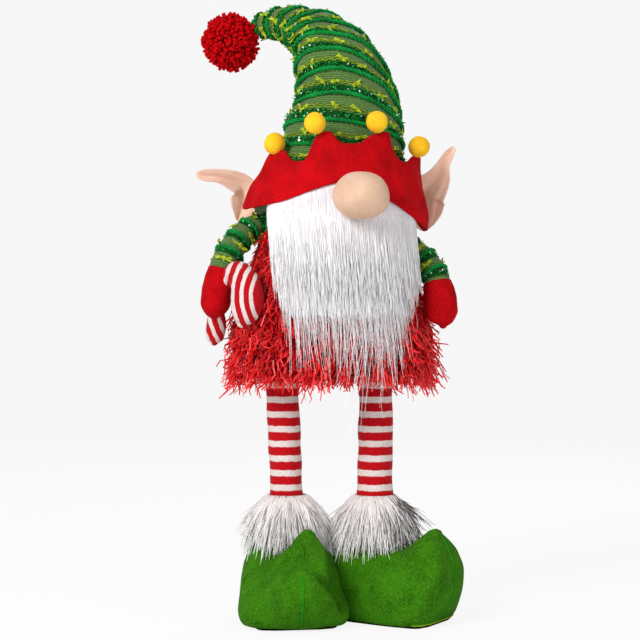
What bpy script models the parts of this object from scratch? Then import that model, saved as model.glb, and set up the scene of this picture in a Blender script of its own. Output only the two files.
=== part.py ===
"""A standing stuffed elf ornament: pointed banded hat, felt crown brim, long beard, tinsel body,
striped legs and curled shoes. Metres, +Z up, facing -Y. Left and right are the viewer's.
"""

import math

import bmesh
import bpy
from mathutils import Vector

# Gaps between pieces that touch on the real figure.
CLEARANCE = 0.0003
SEAM_CLEARANCE = 0.0006

# Shoes and soles.
SOLE_THICKNESS = 0.004
SOLE_SHARE = 0.84
SHOE_HEIGHT = 0.087
SHOE_LENGTH = 0.130
SHOE_WIDTH = 0.100
LEFT_SHOE_TURN = math.radians(9)
RIGHT_SHOE_TURN = math.radians(60)
LEFT_TOE_DROP = 0.019

# Legs: striped tubes round a stiff rod.
LEG_RADIUS = 0.0163
LEG_VISIBLE = 0.145
LEG_IN_SHOE = 0.045
LEG_IN_BODY = 0.022
LEG_SIDES = 10
STRIPE_PITCH = 0.0143
RED_SHARE = 0.56
LEFT_ANKLE_X = -0.0394
LEFT_HIP_X = -0.0453
RIGHT_ANKLE_X = 0.0453
RIGHT_HIP_X = 0.0472
ROD_RADIUS = 0.004
ROD_IN_SHOE = 0.075
ROD_IN_BODY = 0.070

# Fur cuffs at the ankles.
CUFF_RADIUS = 0.0415
CUFF_HEIGHT = 0.062
CUFF_OVERLAP = 0.018
CUFF_TUFTS = 14

# Tinsel body.
BODY_HEIGHT = 0.162
BODY_HALF_WIDTH = 0.098
BODY_DEPTH_SHARE = 0.88
BODY_X = 0.0034
SKIRT_DROP = 0.014
SKIRT_FLARE = 0.010
BODY_TUFTS = 26

# Hat: a stuffed cone that curls over to the left.
HAT_HEM_RADIUS = 0.080
HAT_HEIGHT = 0.187
BAND_PITCH = 0.0235
BAND_HEIGHT = 0.0016
HAT_SIDES = 16
POMPOM_RADIUS = 0.0265
POMPOM_CENTRE = (-0.0958, 0.0, 0.1669)

# Felt brim with four points, each with a ball.
BRIM_THICKNESS = 0.0065
BRIM_FLARE = 0.0035
POINT_CURL = 0.0095
POINT_FOOT = 0.040
POINT_TOP = 0.072
BALL_RADIUS = 0.010
BALL_LEAN = 0.0025

# Face.
NOSE_WIDTH = 0.0536
NOSE_HEIGHT = 0.0448
NOSE_DEPTH = 0.046
NOSE_AZIMUTH = math.radians(12.5)
NOSE_ABOVE_HEM = 0.0087
NOSE_STAND = 0.0245
BEARD_THICKNESS = 0.013
BEARD_LOCKS = 15

# Ears.
EAR_THICKNESS = 0.0048
EAR_CUP = 0.35

# Heights that follow from the sizes above.
SHOE_BASE = SOLE_THICKNESS + CLEARANCE
SHOE_TOP = SHOE_BASE + SHOE_HEIGHT
BODY_BASE = SHOE_TOP + LEG_VISIBLE
BODY_TOP = BODY_BASE + BODY_HEIGHT
HAT_HEM = BODY_TOP + CLEARANCE
LEG_FOOT = SHOE_TOP - LEG_IN_SHOE
LEG_HEAD = BODY_BASE + LEG_IN_BODY
ROD_FOOT = SHOE_TOP - ROD_IN_SHOE
ROD_HEAD = BODY_BASE + ROD_IN_BODY

# Hat stations: x, height and radius, as shares of the hat's height and hem radius.
HAT_STATIONS = (
    (0.040, 0.000, 1.000),
    (0.042, 0.080, 0.965),
    (0.054, 0.195, 0.890),
    (0.073, 0.325, 0.800),
    (0.088, 0.465, 0.735),
    (0.092, 0.565, 0.675),
    (0.080, 0.645, 0.625),
    (0.048, 0.750, 0.570),
    (-0.005, 0.840, 0.490),
    (-0.068, 0.915, 0.390),
    (-0.126, 0.952, 0.305),
    (-0.200, 0.983, 0.245),
    (-0.268, 0.991, 0.196),
    (-0.358, 0.978, 0.141),
    (-0.411, 0.959, 0.072),
)

# Body outline, bottom to top: share of the height, share of the half width.
BODY_OUTLINE = (
    (0.000, 0.985),
    (0.100, 1.000),
    (0.230, 1.000),
    (0.400, 0.965),
    (0.560, 0.900),
    (0.720, 0.815),
    (0.870, 0.725),
    (1.000, 0.630),
)

# Brim edges over the azimuth in degrees from the front: height above the hat's hem.
BRIM_LOW = (
    (-100, 0.0050),
    (-75, 0.0020),
    (-38, 0.0064),
    (-17, 0.0160),
    (-4, 0.0222),
    (13, 0.0250),
    (32, 0.0060),
    (50, -0.0080),
    (70, -0.0180),
    (112, -0.0180),
)
BRIM_HIGH = (
    (-100, 0.0180),
    (-84, 0.0300),
    (-68, 0.0500),
    (-56, 0.0560),
    (-47, 0.0510),
    (-35, 0.0440),
    (-27, 0.0480),
    (-23, 0.0660),
    (-16, 0.0720),
    (-8, 0.0660),
    (4, 0.0590),
    (16, 0.0660),
    (24, 0.0715),
    (31, 0.0670),
    (37, 0.0520),
    (47, 0.0460),
    (57, 0.0520),
    (66, 0.0555),
    (76, 0.0470),
    (92, 0.0270),
    (112, 0.0100),
)
BRIM_POINTS = (-57, -17, 23.5, 65)

# Ears: x, depth and height above the hem of the middle line, and half width.
EAR_LEFT_LINE = (
    (-0.0900, 0.034, -0.0070, 0.0030),
    (-0.0850, 0.033, 0.0030, 0.0130),
    (-0.0815, 0.032, 0.0150, 0.0165),
    (-0.0840, 0.030, 0.0270, 0.0120),
    (-0.0955, 0.026, 0.0335, 0.0100),
    (-0.1090, 0.021, 0.0375, 0.0070),
    (-0.1220, 0.016, 0.0377, 0.0060),
    (-0.1310, 0.013, 0.0385, 0.0030),
)
EAR_RIGHT_LINE = (
    (0.0980, 0.042, -0.0120, 0.0060),
    (0.0955, 0.041, 0.0000, 0.0205),
    (0.0960, 0.039, 0.0110, 0.0245),
    (0.0985, 0.037, 0.0200, 0.0240),
    (0.1065, 0.035, 0.0290, 0.0165),
    (0.1110, 0.034, 0.0370, 0.0125),
    (0.1155, 0.031, 0.0490, 0.0070),
    (0.1215, 0.028, 0.0600, 0.0050),
    (0.1265, 0.026, 0.0665, 0.0025),
)

# Arms: x, depth, depth below the body's top, and radius.
SLEEVE_LEFT_LINE = (
    (-0.0440, -0.004, 0.0150, 0.0115),
    (-0.0700, -0.008, 0.0140, 0.0122),
    (-0.0880, -0.020, 0.0290, 0.0130),
    (-0.0985, -0.031, 0.0480, 0.0135),
)
MITTEN_LEFT_LINE = (
    (-0.0990, -0.0315, 0.0500, 0.0120),
    (-0.1040, -0.035, 0.0640, 0.0142),
    (-0.1070, -0.036, 0.0780, 0.0148),
    (-0.1088, -0.036, 0.0920, 0.0138),
    (-0.1095, -0.036, 0.1000, 0.0095),
    (-0.1095, -0.036, 0.1040, 0.0030),
)
SLEEVE_RIGHT_LINE = (
    (0.0480, -0.004, 0.0330, 0.0115),
    (0.0740, -0.008, 0.0340, 0.0122),
    (0.0925, -0.018, 0.0460, 0.0126),
    (0.1040, -0.027, 0.0640, 0.0128),
)
MITTEN_RIGHT_LINE = (
    (0.1048, -0.0276, 0.0655, 0.0122),
    (0.1070, -0.030, 0.0760, 0.0152),
    (0.1085, -0.031, 0.0890, 0.0162),
    (0.1100, -0.031, 0.1010, 0.0148),
    (0.1110, -0.031, 0.1080, 0.0100),
    (0.1110, -0.031, 0.1115, 0.0035),
)

# Candy cane: tail below the mitten, squeezed narrow in its grip, then over and down in front.
CANE_LINE = (
    (-0.1140, -0.020, 0.1290, 0.0040),
    (-0.1135, -0.020, 0.1250, 0.0100),
    (-0.1110, -0.024, 0.1120, 0.0112),
    (-0.1080, -0.031, 0.0980, 0.0080),
    (-0.1050, -0.036, 0.0860, 0.0062),
    (-0.1000, -0.040, 0.0740, 0.0064),
    (-0.0930, -0.044, 0.0640, 0.0095),
    (-0.0860, -0.050, 0.0620, 0.0130),
    (-0.0800, -0.057, 0.0720, 0.0158),
    (-0.0780, -0.061, 0.0860, 0.0172),
    (-0.0805, -0.062, 0.1020, 0.0155),
    (-0.0840, -0.060, 0.1130, 0.0100),
    (-0.0850, -0.060, 0.1170, 0.0040),
)
CANE_STRIPE_CENTRE = (-0.028, 0.080)
CANE_STRIPE_PITCH = 0.0134

# Shoe sections, heel to toe: top and bottom point of each, as shares of length and height from the
# ankle's axis, and the half width as a share of the shoe's.
SHOE_SECTIONS = (
    (-0.300, 0.520, -0.300, 0.340, 0.240),
    (-0.277, 0.713, -0.277, 0.138, 0.540),
    (-0.215, 0.920, -0.223, -0.060, 0.760),
    (-0.108, 1.000, -0.108, -0.090, 0.880),
    (0.031, 1.000, 0.031, -0.090, 0.930),
    (0.154, 0.931, 0.169, -0.090, 0.975),
    (0.262, 0.851, 0.308, -0.090, 1.000),
    (0.315, 0.833, 0.431, -0.080, 0.980),
    (0.354, 0.856, 0.554, -0.010, 0.900),
    (0.385, 0.897, 0.646, 0.195, 0.790),
    (0.415, 0.943, 0.692, 0.430, 0.650),
    (0.446, 0.989, 0.677, 0.667, 0.480),
    (0.477, 1.034, 0.623, 0.862, 0.300),
    (0.515, 1.057, 0.569, 0.977, 0.130),
)
WIDEST_SHARE = 0.36
SHOE_SQUARENESS = 0.55
SHOE_RING = 18


def hex_colour(text):
    """Linear colour of an sRGB hex value."""
    parts = [int(text[i : i + 2], 16) / 255 for i in (0, 2, 4)]
    return [p / 12.92 if p <= 0.04045 else ((p + 0.055) / 1.055) ** 2.4 for p in parts] + [1.0]


def make_material(name, colour, roughness):
    made = bpy.data.materials.new(name)
    made.use_nodes = True
    shader = made.node_tree.nodes["Principled BSDF"]
    shader.inputs["Base Color"].default_value = hex_colour(colour)
    shader.inputs["Roughness"].default_value = roughness
    made.diffuse_color = hex_colour(colour)
    return made


def spline_value(keys, at):
    """The value at `at` on a smooth curve through (position, value) keys."""
    if at <= keys[0][0]:
        return keys[0][1]
    if at >= keys[-1][0]:
        return keys[-1][1]
    i = next(k for k in range(len(keys) - 1) if keys[k + 1][0] >= at)
    (x0, y0), (x1, y1) = keys[i], keys[i + 1]

    def slope(k):
        low, high = keys[max(k - 1, 0)], keys[min(k + 1, len(keys) - 1)]
        return (high[1] - low[1]) / (high[0] - low[0])

    t, span = (at - x0) / (x1 - x0), x1 - x0
    a, b = slope(i) * span, slope(i + 1) * span
    return (
        y0 * (1 + 2 * t) * (1 - t) ** 2
        + a * t * (1 - t) ** 2
        + y1 * t * t * (3 - 2 * t)
        - b * t * t * (1 - t)
    )


def smooth_rows(rows, step=None, count=None):
    """Rows (x, y, z, radius) read evenly along a smooth curve through the given rows."""
    dense = []
    per_span = 24
    for i in range(len(rows) - 1):
        around = [rows[max(i - 1, 0)], rows[i], rows[i + 1], rows[min(i + 2, len(rows) - 1)]]
        for k in range(per_span):
            t = k / per_span
            dense.append(
                [
                    0.5
                    * (
                        2 * b
                        + (c - a) * t
                        + (2 * a - 5 * b + 4 * c - d) * t * t
                        + (3 * b - a - 3 * c + d) * t**3
                    )
                    for a, b, c, d in zip(*around)
                ]
            )
    dense.append(list(rows[-1]))
    along = [0.0]
    for a, b in zip(dense, dense[1:]):
        along.append(along[-1] + math.dist(a[:3], b[:3]))
    count = count or max(3, round(along[-1] / step) + 1)
    found, k = [], 0
    for n in range(count):
        at = along[-1] * n / (count - 1)
        while k < len(along) - 2 and along[k + 1] < at:
            k += 1
        t = (at - along[k]) / (along[k + 1] - along[k])
        found.append([p + (q - p) * t for p, q in zip(dense[k], dense[k + 1])])
    return found, along[-1]


def add_object(name, data, home):
    made = bpy.data.objects.new(name, data)
    home.objects.link(made)
    return made


def tube(name, rows, sides, home):
    """A closed mesh tube along rows of (x, y, z, radius), made from a bevelled curve."""
    curve = bpy.data.curves.new(name, "CURVE")
    curve.dimensions = "3D"
    curve.bevel_depth = 1.0
    curve.bevel_resolution = (sides - 4) // 2
    curve.use_fill_caps = True
    line = curve.splines.new("POLY")
    line.points.add(len(rows) - 1)
    for point, (x, y, z, radius) in zip(line.points, rows):
        point.co = (x, y, z, 1)
        point.radius = radius
    guide = add_object(name + "_guide", curve, home)
    graph = bpy.context.evaluated_depsgraph_get()
    mesh = bpy.data.meshes.new_from_object(guide.evaluated_get(graph))
    mesh.name = name
    work = bmesh.new()
    work.from_mesh(mesh)
    bmesh.ops.remove_doubles(work, verts=work.verts, dist=1e-6)
    bmesh.ops.recalc_face_normals(work, faces=work.faces)
    work.to_mesh(mesh)
    work.free()
    made = add_object(name, mesh, home)
    made.matrix_world = guide.matrix_world
    bpy.data.objects.remove(guide)
    return made


def loft(name, rings, home, ring_closed=False):
    """A closed mesh through rings of points, capped at both ends unless the rings close on themselves."""
    work = bmesh.new()
    rows = [[work.verts.new(p) for p in ring] for ring in rings]
    spans = list(zip(rows, rows[1:]))
    if ring_closed:
        spans.append((rows[-1], rows[0]))
    for low, high in spans:
        for i in range(len(low)):
            j = (i + 1) % len(low)
            work.faces.new((low[i], low[j], high[j], high[i]))
    if not ring_closed:
        work.faces.new(list(reversed(rows[0])))
        work.faces.new(rows[-1])
    bmesh.ops.recalc_face_normals(work, faces=work.faces)
    mesh = bpy.data.meshes.new(name)
    work.to_mesh(mesh)
    work.free()
    return add_object(name, mesh, home)


def shell(name, columns, rows, place, thickness, home, fullness=None):
    """An open sheet laid out by place(u, v), u and v from 0 to 1, then thickened outwards.
    fullness(v) is the share of the thickness at each height, if it isn't even.
    """
    work = bmesh.new()
    bmesh.ops.create_grid(work, x_segments=columns, y_segments=rows, size=0.5)
    shares = [fullness(vert.co.y + 0.5) if fullness else 1 for vert in work.verts]
    for vert in work.verts:
        vert.co = place(vert.co.x + 0.5, vert.co.y + 0.5)
    mesh = bpy.data.meshes.new(name)
    work.to_mesh(mesh)
    work.free()
    made = add_object(name, mesh, home)
    full = made.vertex_groups.new(name="full")
    for index, share in enumerate(shares):
        full.add([index], share, "REPLACE")
    wall = made.modifiers.new("wall", "SOLIDIFY")
    wall.thickness = thickness
    wall.offset = 1
    wall.vertex_group = full.name
    return made


def ball(name, centre, radii, segments, rings, home):
    work = bmesh.new()
    bmesh.ops.create_uvsphere(work, u_segments=segments, v_segments=rings, radius=1)
    for vert in work.verts:
        vert.co = Vector([c * r for c, r in zip(vert.co, radii)])
    mesh = bpy.data.meshes.new(name)
    work.to_mesh(mesh)
    work.free()
    made = add_object(name, mesh, home)
    made.location = centre
    return made


def cut(part, *cutters):
    for cutter in cutters:
        made = part.modifiers.new("cut_" + cutter.name, "BOOLEAN")
        made.operation = "DIFFERENCE"
        made.solver = "EXACT"
        made.object = cutter


def grown(rows, by):
    """The rows of a tube that is larger by the given amount all round, and longer at both ends."""
    wider = [[x, y, z, radius + by] for x, y, z, radius in rows]
    for end, inner in ((0, 1), (-1, -2)):
        tip, before = Vector(wider[end][:3]), Vector(wider[inner][:3])
        tip += (tip - before).normalized() * by
        wider[end][:3] = tip
    return wider


def dress(part, *materials):
    for material in materials:
        part.data.materials.append(material)
    part.data.shade_smooth()
    part.data.set_sharp_from_angle(angle=math.radians(50))


# Soles and shoes


def shoe_ring(section, toe_drop, grow):
    """One ring of the shoe in its own frame: x across, y forward from the ankle, z up from the sole."""
    top_y, top_z, low_y, low_z, half = section
    toe = max(0.0, (low_y - 0.45) / (0.69 - 0.45))
    drop = toe_drop * min(1.0, toe) ** 2
    top = Vector((0, top_y * SHOE_LENGTH, top_z * SHOE_HEIGHT - drop))
    low = Vector((0, low_y * SHOE_LENGTH, low_z * SHOE_HEIGHT - drop * 0.4))
    reach = (top - low).length
    up = (top - low).normalized()
    middle = low + up * reach * WIDEST_SHARE
    above = reach * (1 - WIDEST_SHARE) + grow
    below = reach * WIDEST_SHARE + grow
    width = half * SHOE_WIDTH / 2 + grow
    ring = []
    for k in range(SHOE_RING):
        angle = math.tau * (k + 0.5) / SHOE_RING
        c, s = math.cos(angle), math.sin(angle)
        if s > 0:
            across, height = c * width, s * above
        else:
            across = math.copysign(abs(c) ** SHOE_SQUARENESS, c) * width
            height = -(abs(s) ** SHOE_SQUARENESS) * below
        point = middle + up * height
        ring.append(Vector((across, point.y, max(point.z, -grow))))
    return ring


def turned(point, ankle_x, turn):
    """A point of the shoe's own frame, placed at its ankle and turned outwards. Forward is -Y."""
    x, y, z = point
    return Vector(
        (
            ankle_x + x * math.cos(turn) + y * math.sin(turn),
            -y * math.cos(turn) + x * math.sin(turn),
            z + SHOE_BASE,
        )
    )


def shoe_form(name, ankle_x, turn, toe_drop, grow, home):
    rings = [
        [turned(p, ankle_x, turn) for p in shoe_ring(section, toe_drop, grow)]
        for section in SHOE_SECTIONS
    ]
    return loft(name, rings, home)


def sole_form(name, ankle_x, turn, home):
    """A flat plate under the part of the shoe that is on the floor, with rounded ends."""
    flat = [(low_y, half) for _, _, low_y, low_z, half in SHOE_SECTIONS if low_z <= 0]
    (heel, heel_half), (toe, toe_half) = flat[0], flat[-1]
    flat = [(heel - 0.035, heel_half * 0.6)] + flat + [(toe + 0.035, toe_half * 0.6)]
    right = [(half * SOLE_SHARE * SHOE_WIDTH / 2, y * SHOE_LENGTH) for y, half in flat]
    outline = [(-x, y) for x, y in right] + right[::-1]
    curve = bpy.data.curves.new(name, "CURVE")
    curve.dimensions = "2D"
    curve.fill_mode = "BOTH"
    curve.extrude = SOLE_THICKNESS / 2
    line = curve.splines.new("POLY")
    line.points.add(len(outline) - 1)
    line.use_cyclic_u = True
    for point, (x, y) in zip(line.points, outline):
        placed = turned((x, y, 0), ankle_x, turn)
        point.co = (placed.x, placed.y, 0, 1)
    made = add_object(name, curve, home)
    made.location.z = SOLE_THICKNESS / 2
    return made


# Legs and rods


def leg_x(ankle_x, hip_x, z):
    """Where the leaning line of a leg is at a height."""
    share = (z - SHOE_TOP) / (BODY_BASE - SHOE_TOP)
    return ankle_x + (hip_x - ankle_x) * share


def leg_rows(ankle_x, hip_x, heights, radius):
    return [(leg_x(ankle_x, hip_x, z), 0.0, z, radius) for z in heights]


def leg_form(name, ankle_x, hip_x, colours, home):
    """The leg's rings lie on the stripes' edges, so that each stripe is a band of its own faces."""
    edges = [LEG_FOOT]
    bands = []
    red = True
    while edges[-1] < LEG_HEAD - 1e-6:
        share = RED_SHARE if red else 1 - RED_SHARE
        edges.append(min(edges[-1] + STRIPE_PITCH * share, LEG_HEAD))
        bands.append(0 if red else 1)
        red = not red
    made = tube(name, leg_rows(ankle_x, hip_x, edges, LEG_RADIUS), LEG_SIDES, home)
    for colour in colours:
        made.data.materials.append(colour)
    for face in made.data.polygons:
        inside = [k for k, edge in enumerate(edges[:-1]) if edge <= face.center.z + 1e-7]
        face.material_index = bands[inside[-1]] if inside else 0
    return made


# Cuffs


def cuff_form(name, ankle_x, hip_x, home):
    """A bell of fur round the leg, with a ragged hem."""
    bore = LEG_RADIUS + SEAM_CLEARANCE
    low = SHOE_TOP - CUFF_OVERLAP
    high = low + CUFF_HEIGHT
    spread = CUFF_RADIUS - bore
    outline = (
        (bore, high - 0.004, 0),
        (bore + spread * 0.22, high, 0),
        (bore + spread * 0.62, high - CUFF_HEIGHT * 0.18, 0),
        (bore + spread * 0.92, high - CUFF_HEIGHT * 0.48, 0),
        (CUFF_RADIUS, low, 0.006),
        (bore + spread * 0.78, low + 0.004, 0.003),
        (bore + spread * 0.40, low + 0.012, 0),
        (bore, low + 0.014, 0),
    )
    columns = CUFF_TUFTS * 2
    rings = []
    for k in range(columns):
        angle = math.tau * k / columns
        ragged = 1 if k % 2 else -1
        rings.append(
            [
                (
                    leg_x(ankle_x, hip_x, z) + r * math.sin(angle),
                    -r * math.cos(angle),
                    z + ragged * jag,
                )
                for r, z, jag in outline
            ]
        )
    return loft(name, rings, home, ring_closed=True)


# Body


def body_radius(z):
    return BODY_HALF_WIDTH * spline_value(BODY_OUTLINE, (z - BODY_BASE) / BODY_HEIGHT)


def body_point(angle, z, radius):
    return (
        BODY_X + radius * math.sin(angle),
        -radius * BODY_DEPTH_SHARE * math.cos(angle),
        z,
    )


def body_form(name, home):
    """A pear with its pile in upright tufts that deepen to a ragged skirt at the hem."""
    columns = BODY_TUFTS * 2
    levels = [0.0, 0.09, 0.2, 0.34, 0.5, 0.66, 0.82, 1.0]
    rings = []
    for inset, rise in ((0.30, 0.004), (0.80, 0.000)):
        rings.append(
            [
                body_point(math.tau * k / columns, BODY_BASE + rise, BODY_HALF_WIDTH * inset)
                for k in range(columns)
            ]
        )
    for level in levels:
        z = BODY_BASE + BODY_HEIGHT * level
        depth = 0.0006 + 0.0034 * (1 - level) ** 1.5
        hem = max(0.0, 1 - level / 0.09)
        ring = []
        for k in range(columns):
            tuft = k % 2
            radius = body_radius(z) - depth * (1 - tuft)
            radius += hem * SKIRT_FLARE * (1 if tuft else 0.4)
            drop = hem * SKIRT_DROP * (1 if tuft else 0.25)
            ring.append(body_point(math.tau * k / columns, z - drop, radius))
        rings.append(ring)
    return loft(name, rings, home)


def body_cutter(name, home):
    """The body's outer form grown by the seam clearance. Soft pieces that lean on it are cut by it."""
    columns = 40
    rings = []
    for level in (-0.05, 0.0, 0.1, 0.2, 0.35, 0.5, 0.65, 0.8, 0.9, 1.02):
        z = BODY_BASE + BODY_HEIGHT * level
        radius = body_radius(z) / math.cos(math.pi / columns) + SEAM_CLEARANCE
        rings.append([body_point(math.tau * k / columns, z, radius) for k in range(columns)])
    return loft(name, rings, home)


# Hat, brim and pompom


def hat_rows():
    return [
        (x * HAT_HEIGHT, 0.0, HAT_HEM + z * HAT_HEIGHT, radius * HAT_HEM_RADIUS)
        for x, z, radius in HAT_STATIONS
    ]


def hat_at(z):
    """Centre and radius of the hat at a height in its upright lower half."""
    low = [(h * HAT_HEIGHT + HAT_HEM, x * HAT_HEIGHT) for x, h, r in HAT_STATIONS[:6]]
    wide = [(h * HAT_HEIGHT + HAT_HEM, r * HAT_HEM_RADIUS) for x, h, r in HAT_STATIONS[:6]]
    return spline_value(low, z), spline_value(wide, z)


def hat_form(name, colours, home):
    """A tube along the curl, with a raised cord at each band."""
    steps = 4
    rows, _ = smooth_rows(hat_rows(), step=BAND_PITCH / steps)
    # The first two centres line up, so that the hem lies level.
    rows[0][0] = rows[1][0]
    banded = []
    for k, (x, y, z, radius) in enumerate(rows):
        raised = BAND_HEIGHT * min(1.0, radius / HAT_HEM_RADIUS * 2) if k % steps == 1 else 0
        banded.append((x, y, z, radius + raised))
    made = tube(name, banded, HAT_SIDES, home)
    for colour in colours:
        made.data.materials.append(colour)
    middles = [Vector(row[:3]) for row in rows]
    for face in made.data.polygons:
        nearest = min(range(len(rows)), key=lambda k: (middles[k] - face.center).length)
        face.material_index = 0 if nearest % steps in (0, 1) else 1
    return made, rows


def brim_place(u, v):
    """A point of the brim's inner face: u along it from the left end, v up from the lower edge."""
    azimuth = BRIM_LOW[0][0] + (BRIM_LOW[-1][0] - BRIM_LOW[0][0]) * u
    low = spline_value(BRIM_LOW, azimuth)
    high = spline_value(BRIM_HIGH, azimuth)
    height = low + (high - low) * v
    z = HAT_HEM + height
    centre, radius = hat_at(z)
    tip = max(0.0, height - POINT_FOOT) / (POINT_TOP - POINT_FOOT)
    reach = radius + BAND_HEIGHT + 3 * SEAM_CLEARANCE + BRIM_FLARE * (1 - v) ** 2
    reach += POINT_CURL * min(tip, 1.0)
    angle = math.radians(azimuth)
    return (centre + reach * math.sin(angle), -reach * math.cos(angle), z)


def brim_form(home):
    return shell("brim", 44, 4, brim_place, BRIM_THICKNESS, home)


def brim_tip(azimuth):
    """The centre of the ball that sits on a point's top edge, in line with the felt there."""
    share = (azimuth - BRIM_LOW[0][0]) / (BRIM_LOW[-1][0] - BRIM_LOW[0][0])
    edge = Vector(brim_place(share, 1.0))
    along = (Vector(brim_place(share + 0.005, 1.0)) - edge).normalized()
    up = (edge - Vector(brim_place(share, 0.9))).normalized()
    out = along.cross(up).normalized()
    above = BALL_RADIUS + 2 * CLEARANCE
    return edge + out * (BRIM_THICKNESS / 2 + BALL_LEAN) + up * above


# Face


def nose_centre():
    centre, radius = hat_at(HAT_HEM)
    reach = radius + NOSE_STAND
    return Vector(
        (
            centre + reach * math.sin(NOSE_AZIMUTH),
            -reach * math.cos(NOSE_AZIMUTH),
            HAT_HEM + NOSE_ABOVE_HEM,
        )
    )


def nose_form(name, grow, home):
    radii = [size / 2 + grow for size in (NOSE_WIDTH, NOSE_DEPTH, NOSE_HEIGHT)]
    return ball(name, nose_centre(), radii, 18, 10, home)


BEARD_SIDES = (-42, 54)
BEARD_BOTTOM = (
    (-42, 0.105),
    (-32, 0.055),
    (-20, 0.026),
    (-8, 0.008),
    (8, -0.006),
    (20, -0.032),
    (30, -0.014),
    (40, 0.018),
    (48, 0.052),
    (54, 0.100),
)


def beard_place(u, v):
    """A point of the beard's inner face: u across from the left, v up from its ragged lower edge."""
    azimuth = BEARD_SIDES[0] + (BEARD_SIDES[1] - BEARD_SIDES[0]) * u
    column = round(u * BEARD_LOCKS * 2)
    lock = -0.010 if column % 2 else 0.006
    top = HAT_HEM + spline_value(BRIM_LOW, azimuth) - 3 * SEAM_CLEARANCE
    low = BODY_BASE + spline_value(BEARD_BOTTOM, azimuth) + lock
    z = low + (top - low) * v
    angle = math.radians(azimuth)
    centre, hat_radius = hat_at(max(z, HAT_HEM))
    level = min(max(z, BODY_BASE + 0.01), BODY_TOP)
    around_body = Vector(body_point(angle, z, body_radius(level) + SEAM_CLEARANCE * 2))
    reach = hat_radius + BAND_HEIGHT + 3 * SEAM_CLEARANCE
    around_hat = Vector((centre + reach * math.sin(angle), -reach * math.cos(angle), z))
    over = min(1.0, max(0.0, (z - (BODY_TOP - 0.055)) / 0.045))
    over = over * over * (3 - 2 * over)
    skirt = min(1.0, max(0.0, (BODY_BASE + 0.035 - z) / 0.035))
    point = around_body.lerp(around_hat, over)
    away = Vector((math.sin(angle), -math.cos(angle), 0))
    ripple = 0.0012 * (column % 2)
    return point + away * (skirt * (SKIRT_FLARE + 0.002) + ripple)


def beard_form(home):

    def fullness(v):
        return min(1.0, 0.3 + 1.6 * v, 0.5 + 4 * (1 - v))

    return shell("beard", BEARD_LOCKS * 2, 7, beard_place, BEARD_THICKNESS, home, fullness)


def ear_place(line, outward):
    """The layout of one cupped ear: u across, v from the lobe to the tip. outward is +1 on the right."""
    keys = [
        [(k / (len(line) - 1), row[i]) for k, row in enumerate(line)] for i in range(4)
    ]

    def at(v):
        return Vector([spline_value(keys[i], v) for i in range(3)])

    def place(u, v):
        middle = at(v)
        ahead = (at(min(1.0, v + 0.02)) - at(max(0.0, v - 0.02))).normalized()
        side = ahead.cross(Vector((0, 1, 0))).normalized() * -1
        half = spline_value(keys[3], v)
        across = 2 * u - 1
        cup = EAR_CUP * half * (across * across - 0.5)
        point = middle + side * across * half + Vector((0, -cup, 0))
        return (point.x, point.y, point.z + HAT_HEM)

    return place


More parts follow.
